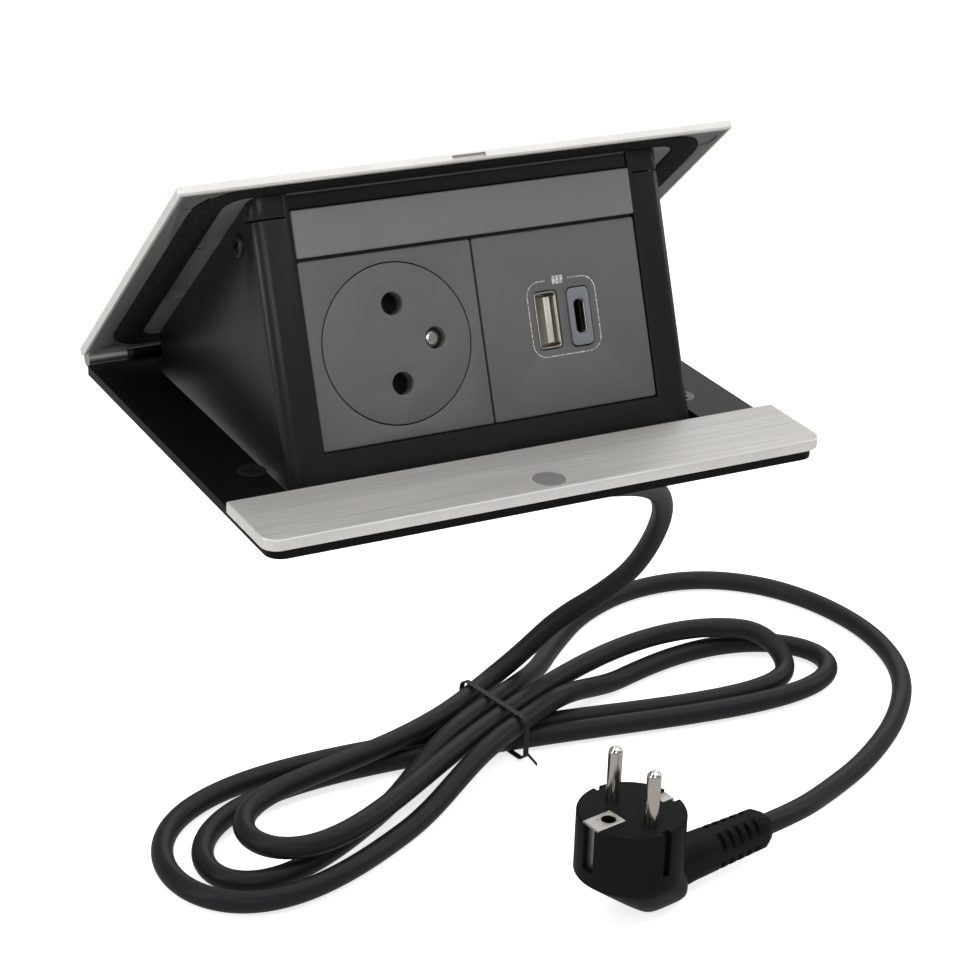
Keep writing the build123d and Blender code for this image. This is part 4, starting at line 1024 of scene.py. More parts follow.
@dataclass
class Modules:
    """The socket and charger modules, in the face's frame.

    Args:
        shop: what builds the pieces.
        front_y: the fronts' limits up the face.
        front_back: how deep the fronts' plates are.
        recess: how far the fronts lie behind the housing's face.
        socket_x: the socket module's limits along the face.
        socket_back: its body behind the front.
        clear: how far cuts reach in front of the face.
        contact_hole: the limits in depth of the holes to the contacts.
        well: the radius and depth of the disc's well.
        disc_back: how deep the disc is.
        port_cuts: each port's opening: limits, corner and the corner's steps.
        printed: the outline printed round the ports, as the openings are given.
        print_gap: where the outline is open.
        bars: the left side of each plain bar in that gap.
    """

    shop: Shop
    front_y: Span = (0.0, 44.5)
    front_corner: float = 0.6
    front_back: float = -2.2
    front_edge: float = 0.3
    recess: float = 0.3
    clear: float = 5.0
    socket_x: Span = (-45.0, -0.25)
    socket_back: Box = ((-42.5, -2.75), (2.5, 42.5), (-28, -2.0))
    socket_edge: float = 0.1
    pin_offset: float = 9.5
    pin_hole: float = 2.75
    contact_hole: Span = (-30.0, -10.0)
    earth_hole: float = 2.65
    hole_sides: int = 48
    well: Span = (19.4, -18.6)
    disc_radius: float = 19.1
    disc_back: float = -4.3
    disc_cut: float = -8.0
    disc_sides: int = 128
    disc_edge: float = 0.22
    charger_x: Span = (0.25, 45.0)
    charger_back: Box = ((2.75, 42.5), (2.5, 42.5), (-13, -2.0))
    charger_edge: float = 0.12
    port_cuts: tuple = (
        ((14.7, 21.3), (15.3, 29.7), 1.1, 6),
        ((23.55, 29.95), (14.95, 29.65), 1.5, 8),
    )
    port_depth: float = -20.0
    printed: tuple = ((12.9, 31.9), (13.5, 32.1), 3.6, 8)
    print_line: float = 0.22
    print_raised: float = 0.02
    print_sunk: float = 0.05
    print_gap: Box = ((18.4, 24.6), (30.8, 33), (-1, 1))
    bars: tuple = (20.3, 21.35, 22.4)
    bar_width: float = 0.8
    bar_y: Span = (30.95, 32.95)

    def build(self) -> None:
        """Builds the two fronts, the disc and the print."""
        self._socket()
        self._disc()
        self._charger()
        self._print()

    def _front(self, x: Span, back: Box) -> bpy.types.Object:
        """A module's square front plate with the body behind it.

        Args:
            x: the front's limits along the face.
            back: the body's limits.

        Returns:
            The solid.
        """
        shop = self.shop
        outline = rounded(x, self.front_y, self.front_corner, steps=4)
        plate = shop.prism(outline, self.front_back, -self.recess)
        shop.soften(plate, self.front_edge, segments=3)
        return shop.combine(plate, [shop.box(*back)], "UNION")

    def _socket(self) -> None:
        """Builds the socket module with the disc's well and the contact holes."""
        shop = self.shop
        x, h = SOCKET
        body = self._front(self.socket_x, self.socket_back)
        radius, depth = self.well
        cuts = [shop.rod(x, h, (depth, self.clear), radius, self.disc_sides)]
        for side in SIDES:
            cuts.append(shop.rod(x, h + side * self.pin_offset, self.contact_hole, self.pin_hole))
        shop.combine(body, cuts, "DIFFERENCE")
        shop.soften(body, self.socket_edge)
        shop.piece(body, "socket_body_look", MODULE_GREY, "lid", FACE_FRAME, ("socket_body",))

    def _disc(self) -> None:
        """Builds the disc that sinks under a plug."""
        shop = self.shop
        x, h = SOCKET
        disc = shop.rod(x, h, (self.disc_back, -self.recess), self.disc_radius, self.disc_sides)
        holes = [(x, h + side * self.pin_offset, self.pin_hole) for side in SIDES]
        holes.append((x + EARTH_OFFSET, h, self.earth_hole))
        cut_z = (self.disc_cut, self.clear)
        cuts = [shop.rod(hx, hy, cut_z, radius, self.hole_sides) for hx, hy, radius in holes]
        shop.combine(disc, cuts, "DIFFERENCE")
        shop.soften(disc, self.disc_edge, segments=3)
        shop.piece(disc, "socket_disc_look", MODULE_GREY, "disc", FACE_FRAME, ("socket_disc",))

    def _charger(self) -> None:
        """Builds the charger's front with its two openings."""
        shop = self.shop
        body = self._front(self.charger_x, self.charger_back)
        cuts = [shop.prism(rounded(*port), self.port_depth, self.clear) for port in self.port_cuts]
        shop.combine(body, cuts, "DIFFERENCE")
        shop.soften(body, self.charger_edge)
        shop.piece(body, "usb_body_look", MODULE_GREY, "lid", FACE_FRAME, ("usb_body",))

    def _print(self) -> None:
        """Builds the thin printed outline round the outlets and three plain bars in its gap."""
        shop = self.shop
        x, y, corner, steps = self.printed
        line = self.print_line
        z = (-self.recess - self.print_sunk, -self.recess + self.print_raised)
        ring = shop.prism(rounded(x, y, corner, steps), *z)
        inside = rounded((x[0] + line, x[1] - line), (y[0] + line, y[1] - line), corner - line, steps)
        inner = shop.prism(inside, *self.print_gap[2])
        shop.combine(ring, [inner, shop.box(*self.print_gap)], "DIFFERENCE")
        bars = [shop.box((left, left + self.bar_width), self.bar_y, z) for left in self.bars]
        shop.combine(ring, bars, "UNION")
        shop.piece(ring, "outlet_print", SILVER_PRINT, "lid", FACE_FRAME)


class Tree:
    """A Geometry Nodes tree under construction, with named inputs."""

    def __init__(self, name: str, inputs: dict[str, tuple[str, float]]) -> None:
        """Starts the tree.

        Args:
            name: the tree's name.
            inputs: each named input's kind and value.
        """
        self.tree = bpy.data.node_groups.new(name, "GeometryNodeTree")
        sockets = self.tree.interface
        sockets.new_socket("Geometry", in_out="INPUT", socket_type="NodeSocketGeometry")
        for label, (kind, value) in inputs.items():
            made = sockets.new_socket(label, in_out="INPUT", socket_type=kind)
            made.default_value = value
        sockets.new_socket("Geometry", in_out="OUTPUT", socket_type="NodeSocketGeometry")
        self.entry = self.tree.nodes.new("NodeGroupInput")
        self.exit = self.tree.nodes.new("NodeGroupOutput")

    def node(self, kind: str, links: dict | None = None, **settings: str) -> bpy.types.Node:
        """Adds a node, with settings and links into its inputs.

        Args:
            kind: the node's type.
            links: what goes into each input: a node's output, or the name of a tree input.
            settings: values of the node's own properties.

        Returns:
            The node.
        """
        made = self.tree.nodes.new(kind)
        for key, value in settings.items():
            setattr(made, key, value)
        for key, source in (links or {}).items():
            output = self.entry.outputs[source] if isinstance(source, str) else source
            self.tree.links.new(output, made.inputs[key])
        return made

    def finish(self, geometry: bpy.types.NodeSocket, material: bpy.types.Material) -> None:
        """Ends the tree with smooth, real geometry in one material.

        Args:
            geometry: the output that goes to the end.
            material: what it is dressed in.
        """
        smooth = self.node("GeometryNodeSetShadeSmooth", {"Geometry": geometry})
        real = self.node("GeometryNodeRealizeInstances", {"Geometry": smooth.outputs[0]})
        dress = self.node("GeometryNodeSetMaterial", {"Geometry": real.outputs[0]})
        dress.inputs["Material"].default_value = material
        self.tree.links.new(dress.outputs[0], self.exit.inputs[0])

    def run(self, name: str, mesh: bpy.types.Mesh) -> bpy.types.Object:
        """Runs the tree on a mesh.

        Args:
            name: the new object's name.
            mesh: what goes in.

        Returns:
            A plain object with the result.
        """
        made = bpy.data.objects.new(name, mesh)
        bpy.context.scene.collection.objects.link(made)
        modifier = made.modifiers.new("tree", "NODES")
        modifier.node_group = self.tree
        result = settled_mesh(made)
        made.modifiers.clear()
        made.data = result
        result.name = name
        log.info("piece %s: %d faces", name, len(result.polygons))
        return made


def tube_tree(name: str, radius: float, step: float, sides: int, material: bpy.types.Material) -> Tree:
    """A tree that sweeps a round section along a line of vertices.

    Args:
        name: the tree's name.
        radius: the section's radius, in metres.
        step: the length of one segment.
        sides: the section's sides.
        material: what the tube is dressed in.

    Returns:
        The finished tree.
    """
    inputs = {
        "Radius": ("NodeSocketFloat", radius),
        "Step": ("NodeSocketFloat", step),
        "Sides": ("NodeSocketInt", sides),
    }
    tree = Tree(name, inputs)
    line = tree.node("GeometryNodeMeshToCurve", {"Mesh": "Geometry"})
    spaced = {"Curve": line.outputs[0], "Length": "Step"}
    even = tree.node("GeometryNodeResampleCurve", spaced, mode="LENGTH")
    ring = tree.node("GeometryNodeCurvePrimitiveCircle", {"Radius": "Radius", "Resolution": "Sides"})
    swept = {"Curve": even.outputs[0], "Profile Curve": ring.outputs[0]}
    tube = tree.node("GeometryNodeCurveToMesh", swept)
    tube.inputs["Fill Caps"].default_value = True
    tree.finish(tube.outputs[0], material)
    return tree


def polyline(points: list[Point]) -> bpy.types.Mesh:
    """A mesh of one open line of vertices.

    Args:
        points: the vertices in their order, in metres.

    Returns:
        The mesh.
    """
    mesh = bpy.data.meshes.new("line")
    pairs = [(index, index + 1) for index in range(len(points) - 1)]
    mesh.from_pydata([tuple(point) for point in points], pairs, [])
    return mesh


@dataclass
class Springs:
    """The wound springs of the hinge and of the disc.

    Args:
        shop: what dresses them.
        wire: the radius of the hinge springs' wire.
        wire_step: the length of one segment of it.
        mean: the mean radius of their turns.
        spans: where each of them starts and ends, from the middle.
        lid_leg: where the leg on the lid ends, along the lid and over the top of the turns.
        base_leg: the length of the leg on the base.
        cone: the disc spring's radius at the disc and at the well's floor.
        cone_depths: how deep those two ends lie.
        cone_keep: the share of its length that the spring keeps when it is pressed; not used.
    """

    shop: Shop
    wire: float = 0.28
    wire_step: float = 0.35
    wire_sides: int = 10
    mean: float = 1.5
    spans: Span = (16.5, 31.5)
    turns: int = 22
    turn_steps: int = 20
    lid_leg: Span = (-5.4, -0.55)
    base_leg: float = 5.6
    cone: Span = (13.5, 16.9)
    cone_depths: Span = (4.75, 18.1)
    cone_wire: float = 0.42
    cone_step: float = 1.2
    cone_turns: float = 4.5
    cone_steps: int = 160
    cone_keep: float = 0.03

    def build(self) -> None:
        """Builds the three springs."""
        for side, word in zip(SIDES, ("left", "right")):
            self._hinge_spring(side, word)
        self._disc_spring()

    def _wound(
        self, name: str, node: str, wire: float, step: float, line: list[Point]
    ) -> bpy.types.Object:
        """Winds a wire along a line.

        Args:
            name: the spring's name.
            node: the CAD node that it stands for.
            wire: the wire's radius.
            step: the length of one segment.
            line: the wire's line, in metres.

        Returns:
            The spring.
        """
        material = self.shop.dresser.material(STEEL)
        tree = tube_tree(name, MM * wire, MM * step, self.wire_sides, material)
        spring = tree.run(f"{name}_look", polyline(line))
        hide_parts(node)
        return spring

    def _hinge_spring(self, side: int, word: str) -> None:
        """Builds one hinge spring, which winds up between the lid and the base.

        Args:
            side: -1 for the left one and 1 for the right one.
            word: left or right.
        """
        name = f"hinge_spring_{word}"
        spring = self._wound(name, "hinge_springs", self.wire, self.wire_step, self._torsion(side))
        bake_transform(spring)

    def _disc_spring(self) -> None:
        """Builds the cone spring, which the disc presses flat."""
        name = "disc_spring"
        spring = self._wound(name, name, self.cone_wire, self.cone_step, self._cone())
        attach(spring, "lid")
        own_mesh(spring)

    def _torsion(self, side: int) -> list[Point]:
        """The line of a hinge spring, from its lid leg round to its base leg.

        Args:
            side: -1 for the left one and 1 for the right one.

        Returns:
            The points, in metres.
        """
        near, far = self.spans
        leg_y, leg_drop = self.lid_leg
        points = [point_in(LID, side * near, leg_y, self.mean + leg_drop)]
        count = self.turns * self.turn_steps
        total = 2 * math.pi * self.turns + math.pi - SWING
        for step in range(count + 1):
            turn = SWING + total * step / count
            x = side * (near + (far - near) * step / count)
            y = HINGE[1] + self.mean * math.sin(turn)
            z = HINGE[2] + self.mean * math.cos(turn)
            points.append((MM * x, MM * y, MM * z))
        end = (side * far, HINGE[1] - self.base_leg, HINGE[2] - self.mean)
        return [*points, tuple(MM * part for part in end)]

    def _cone(self) -> list[Point]:
        """The line of the disc's spring.

        Returns:
            The points, in metres.
        """
        points = []
        for step in range(self.cone_steps + 1):
            share = step / self.cone_steps
            radius = self.cone[0] + (self.cone[1] - self.cone[0]) * share
            depth = self.cone_depths[0] + (self.cone_depths[1] - self.cone_depths[0]) * share
            turn = 2 * math.pi * self.cone_turns * share
            x = SOCKET[0] + radius * math.cos(turn)
            h = SOCKET[1] + radius * math.sin(turn)
            points.append(point_in(FACE_FRAME, x, h, -depth))
        return points


@dataclass(frozen=True)
class Sleeve:
    """A rounded rectangular sleeve of a port.

    Args:
        node: the CAD node that it stands for.
        finish: its finish.
        x: its limits along the face.
        h: its limits up the face.
        corner: its corner radius.
        wall: its wall at the sides and at the ends.
        bore_corner: the corner radius inside.
        z: its limits in depth.
        back: the thickness of its back, or 0 where it is open.
    """

    node: str
    finish: Finish
    x: Span
    h: Span
    corner: float
    wall: Span
    bore_corner: float
    z: Span
    back: float = 0.0


LARGE_SHELL = Sleeve(
    "usb_a_shell", NICKEL, (15.02, 20.98), (15.66, 29.34), corner=0.7, wall=(0.3, 0.3),
    bore_corner=0.4, z=(-12.9, -0.6), back=0.4,
)
SMALL_FRAME = Sleeve(
    "usb_c_frame", FRAME_BLUE, (23.82, 29.58), (15.32, 29.38), corner=1.3, wall=(1.25, 2.55),
    bore_corner=1.29, z=(-2.9, 0.05),
)
SMALL_SHELL = Sleeve(
    "usb_c_shell", NICKEL, (25.07, 28.33), (17.87, 26.83), corner=1.55, wall=(0.3, 0.3),
    bore_corner=1.25, z=(-12.9, -0.32), back=0.4,
)


@dataclass
class Outlets:
    """The earth pin and the metal parts of both ports.

    Args:
        shop: what builds the pieces.
        pin: the earth pin's radius.
        pin_z: its foot and its tip.
        pin_rounding: the rounding of its tip.
        tongue: the larger port's tongue.
    """

    shop: Shop
    pin: float = 2.4
    pin_z: Span = (-23.5, -1.9)
    pin_rounding: float = 1.5
    tongue: Box = ((18.2, 19.9), (16.9, 28.1), (-12.4, -2.2))
    tongue_edge: float = 0.1
    sleeve_edge: float = 0.07
    overrun: float = 1.0
    back_gap: float = 0.05

    def build(self) -> None:
        """Builds the pieces that show in the modules."""
        self._pin()
        self._sleeve(LARGE_SHELL)
        self._tongue()
        self._sleeve(SMALL_FRAME)
        self._sleeve(SMALL_SHELL)

    def _pin(self) -> None:
        """Builds the earth pin."""
        shop = self.shop
        foot, tip = self.pin_z
        pin = shop.turned([(self.pin, foot), *dome(self.pin, tip, self.pin_rounding)])
        shop.place(pin, Matrix.Translation((SOCKET[0] + EARTH_OFFSET, SOCKET[1], 0)))
        shop.piece(pin, "earth_pin_look", NICKEL, "lid", FACE_FRAME, ("earth_pin",))

    def _tongue(self) -> None:
        """Builds the tongue of the larger port."""
        shop = self.shop
        tongue = shop.soften(shop.box(*self.tongue), self.tongue_edge)
        # The plastic tongue is dressed in a lighter copy of the nickel, a painted highlight.
        shop.piece(tongue, "usb_a_tongue_look", TONGUE_HIGHLIGHT_NICKEL, "lid", FACE_FRAME, ("usb_a_tongue",))

    def _sleeve(self, sleeve: Sleeve) -> None:
        """Builds one sleeve.

        Args:
            sleeve: its sizes and finish.
        """
        shop = self.shop
        side, end = sleeve.wall
        low, high = sleeve.z
        body = shop.prism(rounded(sleeve.x, sleeve.h, sleeve.corner), low, high)
        bore_x = (sleeve.x[0] + side, sleeve.x[1] - side)
        bore_h = (sleeve.h[0] + end, sleeve.h[1] - end)
        outline = rounded(bore_x, bore_h, sleeve.bore_corner)
        bore = shop.prism(outline, low - self.overrun, high + self.overrun)
        shop.combine(body, [bore], "DIFFERENCE")
        shop.soften(body, self.sleeve_edge)
        if sleeve.back:
            outline = rounded(sleeve.x, sleeve.h, sleeve.corner - self.back_gap)
            shop.combine(body, [shop.prism(outline, low, low + sleeve.back)], "UNION")
        node = sleeve.node
        shop.piece(body, f"{node}_look", sleeve.finish, "lid", FACE_FRAME, (node,))


PLUG = Matrix.Translation((113.9, 97.4, FLOOR)) @ Matrix.Rotation(math.radians(10.5), 4, "Z")


@dataclass(frozen=True)
class Station:
    """A section of the plug's arm.

    Args:
        x: its place along the cord.
        half: its half sizes.
        power: how square its corners are.
    """

    x: float
    half: Span
    power: float


@dataclass
class Plug:
    """The angled plug with its pins and earth plate, standing on its keel.

    Args:
        shop: what builds the pieces.
        radius: the front's radius.
        height: the height of the front's face over the floor.
        waist: where the keel's slope ends.
        shoulder: the height of a ring on the front's straight wall.
        exit: the height of the cord's axis.
        keel: the keel's half sizes at its foot.
        keel_shift: how far its foot lies towards the cord.
        keel_powers: how square it is at its foot, and how much of that is lost on the way up.
        keel_shares: how fast its corners and its breadth swell.
        arm: the arm's sections.
        slots: how many slots each corner of the arm has.
        arm_taper: how far a corner stands out, where that is so, what it loses and over which length.
        seat: the recess of the earth plate, on the front.
        groove: its recess down the side.
        clip_groove: the recess of the clip opposite.
        clip_seat: the recess of the clip's leaf, on the front.
        flute: the groove on each side: half its width, its depth along Y and its height.
        plate: the earth plate on the front.
        leg: its leg down the side.
        clip: the clip opposite.
        leaf: the clip's leaf on the front.
    """

    shop: Shop
    radius: float = 18.2
    height: float = 39.0
    waist: float = 17.0
    waist_rise: float = 2.0
    shoulder: float = 30.0
    rim: float = 0.9
    exit: float = 11.0
    keel: Span = (8.5, 3.5)
    keel_shift: float = 13.0
    keel_powers: Span = (5.0, 3.0)
    keel_shares: Span = (0.7, 0.55)
    keel_steps: int = 8
    round_sides: int = 96
    arm: tuple = (
        Station(4, (9.4, 7.9), 3.2),
        Station(26, (7.3, 7.1), 3.0),
        Station(58.4, (6.5, 6.5), 2.8),
        Station(61.3, (5.0, 5.0), 2.6),
    )
    arm_sides: int = 72
    arm_edge: float = 0.22
    slots: int = 5
    slot_start: float = 37.0
    slot_pitch: float = 4.0
    slot_half: float = 0.95
    slot_depth: float = 1.5
    slot_reach: float = 6.0
    slot_breadth: float = 4.4
    arm_taper: tuple = (8.0, 26, 0.8, 35.4)
    seat: Box = ((-23, -6), (-4, 4), (38.2, 44))
    groove: Box = ((-23, -15.4), (-2.5, 2.5), (22.2, 44))
    clip_groove: Box = ((14.6, 23), (-4, 4), (22.2, 44))
    clip_seat: Box = ((11.4, 16.4), (-2.3, 2.3), (38.2, 44))
    flute: Box = ((-1.4, 1.4), (15.8, 23), (23, 44))
    earth_x: float = -10.0
    earth_bore: float = 2.7
    earth_bore_z: Span = (21.0, 44.0)
    pin_y: float = 9.5
    pin_profile: tuple = ((2.2, 33.0), (2.2, 39.3), (2.4, 39.35))
    pin: float = 2.4
    pin_tip: float = 58.0
    pin_rounding: float = 2.1
    plate: Box = ((-17.6, -6), (-4, 4), (38.2, 39.0))
    leg: Box = ((-16.4, -15.4), (-2.4, 2.4), (22.2, 39.0))
    plate_hole: float = 2.45
    plate_hole_z: Span = (30.0, 44.0)
    plate_edge: float = 0.15
    clip: Box = ((14.6, 16.2), (-4, 4), (22.2, 38.2))
    leaf: Box = ((11.5, 16.2), (-2.2, 2.2), (38.1, 38.95))
    clip_edge: float = 0.2
    pieces: list = field(default_factory=list)

    def build(self) -> list[bpy.types.Object]:
        """Builds the plug.

        Returns:
            Its pieces.
        """
        self._body()
        self._pins()
        self._plate()
        self._clip()
        return self.pieces

    def _finish(self, body: bpy.types.Object, node: str, finish: Finish) -> None:
        """Finishes one of the plug's pieces.

        Args:
            body: its solid.
            node: the CAD node that it stands for.
            finish: its finish.
        """
        self.pieces.append(self.shop.piece(body, f"{node}_look", finish, "frame", PLUG, (node,)))

    def _belly(self) -> bpy.types.Object:
        """The front with the belly that narrows to the keel.

        Returns:
            The solid.
        """
        rings = []
        length, breadth = self.keel
        corners, swell = self.keel_shares
        for step in range(self.keel_steps + 1):
            share = step / self.keel_steps
            power = self.keel_powers[0] - self.keel_powers[1] * share**corners
            half_length = length + (self.radius - length) * share
            half_breadth = breadth + (self.radius - breadth) * share**swell
            centre = self.keel_shift * (1 - share)
            outline = squircle((half_length, half_breadth), power, self.round_sides)
            rings.append([(x + centre, y, self.waist * share) for x, y in outline])
        for radius, z in self._front():
            rings.append([(x, y, z) for x, y in circle(0, 0, radius, self.round_sides)])
        return self.shop.loft(rings)

    def _front(self) -> Outline:
        """The radius and height of the front's rings, up to its rounded rim."""
        wall = [(self.radius, self.waist + self.waist_rise), (self.radius, self.shoulder)]
        return wall + dome(self.radius, self.height, self.rim, steps=5)

    def _arm(self) -> bpy.types.Object:
        """The squared arm along the cord, with slots across its corners.

        Returns:
            The solid.
        """
        shop = self.shop
        rings = []
        for station in self.arm:
            outline = squircle(station.half, station.power, self.arm_sides)
            rings.append([(station.x, y, self.exit + z) for y, z in outline])
        boss = shop.loft(rings)
        deep, start, lost, over = self.arm_taper
        breadth = (-self.slot_breadth, self.slot_breadth)
        for number in range(self.slots):
            middle = self.slot_start + self.slot_pitch * number
            depth = deep - lost * (middle - start) / over - self.slot_depth
            along = (middle - self.slot_half, middle + self.slot_half)
            cuts = []
            for corner in range(4):
                slot = shop.box(along, (depth, depth + self.slot_reach), breadth)
                turn = Matrix.Rotation(math.radians(45 + 90 * corner), 4, "X")
                cuts.append(shop.place(slot, Matrix.Translation((0, 0, self.exit)) @ turn))
            shop.combine(boss, cuts, "DIFFERENCE")
        return shop.soften(boss, self.arm_edge)

    def _body(self) -> None:
        """Builds the moulding."""
        shop = self.shop
        body = shop.combine(self._belly(), [self._arm()], "UNION")
        cuts = [
            shop.box(*self.seat),
            shop.box(*self.groove),
            shop.rod(self.earth_x, 0, self.earth_bore_z, self.earth_bore),
            shop.box(*self.clip_groove),
            shop.box(*self.clip_seat),
        ]
        x, y, z = self.flute
        cuts += [shop.box(x, mirrored(side, *y), z) for side in SIDES]
        shop.combine(body, cuts, "DIFFERENCE")
        self._finish(body, "plug_body", PLUG_BLACK)

    def _pins(self) -> None:
        """Builds the two round pins as one piece."""
        shop = self.shop
        profile = [*self.pin_profile, *dome(self.pin, self.pin_tip, self.pin_rounding)]
        pair = []
        for side in SIDES:
            place = Matrix.Translation((0, self.pin_y * side, 0))
            pair.append(shop.place(shop.turned(profile, sides=48), place))
        both = shop.combine(pair[0], [pair[1]], "UNION")
        self._finish(both, "plug_pins", NICKEL)

    def _plate(self) -> None:
        """Builds the bent earth plate."""
        shop = self.shop
        plate = shop.combine(shop.box(*self.plate), [shop.box(*self.leg)], "UNION")
        hole = shop.rod(self.earth_x, 0, self.plate_hole_z, self.plate_hole)
        shop.combine(plate, [hole], "DIFFERENCE")
        shop.soften(plate, self.plate_edge)
        # The earth plate is dressed in the nickel's darker copy, a painted shade.
        self._finish(plate, "plug_earth_plate", EARTH_NICKEL_SHADED)

    def _clip(self) -> None:
        """Builds the earth clip opposite the plate."""
        shop = self.shop
        clip = shop.combine(shop.box(*self.clip), [shop.box(*self.leaf)], "UNION")
        shop.soften(clip, self.clip_edge)
        # The clip is dressed in the same painted shade.
        self._finish(clip, "plug_earth_clip", EARTH_NICKEL_SHADED)


def eased(share: float) -> float:
    """A share that starts and ends gently."""
    return share**2 * (3 - 2 * share)


@dataclass(frozen=True)
class Lobe:
    """One lobe of the hank.

    Args:
        side: -1 for a left one and 1 for a right one.
        reach: its length.
        spread: how strongly its way out and its way back part.
        sway: how far its tip leans aside.
        slope: how steeply it leaves the middle.
        climbs: its level, counted in cords, at shares of its length.
    """

    side: int
    reach: float
    spread: float
    sway: float
    slope: float
    climbs: tuple


CROSS_SLOPE = 0.319
EXIT_SLOPE = 0.41
LOBES = (
    Lobe(-1, 121.1, 20.0, 17.4, -EXIT_SLOPE, ((0, 1), (1, 1))),
    Lobe(1, 126.4, 2.5, -16.3, CROSS_SLOPE, ((0, 1), (0.4, 1), (0.6, 0), (1, 0))),
    Lobe(-1, 148.3, 8.2, -12.4, CROSS_SLOPE, ((0, 0), (0.86, 0), (0.97, 1))),
    Lobe(1, 141.7, 2.8, -14.5, CROSS_SLOPE, ((0.05, 1), (0.15, 0), (1, 0))),
    Lobe(-1, 135.9, 6.0, -18.1, CROSS_SLOPE, ((0, 0), (0.84, 0), (0.95, 1))),
)
DROP = (
    (50.4, 50.0, -39.0), (80.5, 87.7, -62.7), (115.9, 126.5, -85.4), (145.3, 153.8, -101.7),
    (166.6, 174.2, -117.3), (178.5, 191.3, -137.3), (179.9, 208.6, -163.2), (172.0, 220.0, -178.6),
    (162.2, 233.8, -193.2), (149.3, 238.6, -207.8),
)
LEAD = (
    (160.0, 245.0, -220.6), (178.0, 265.0, -223.8), (202.0, 285.0, -223.8),
    (232.0, 296.5, -223.8), (262.0, 294.0, -223.8), (285.0, 277.0, -223.8),
    (298.0, 250.0, -223.8), (301.0, 219.0, -223.8), (292.0, 188.0, -223.8),
    (270.0, 161.5, -223.8), (240.5, 140.0, -223.8), (212.0, 125.0, -222.0),
)


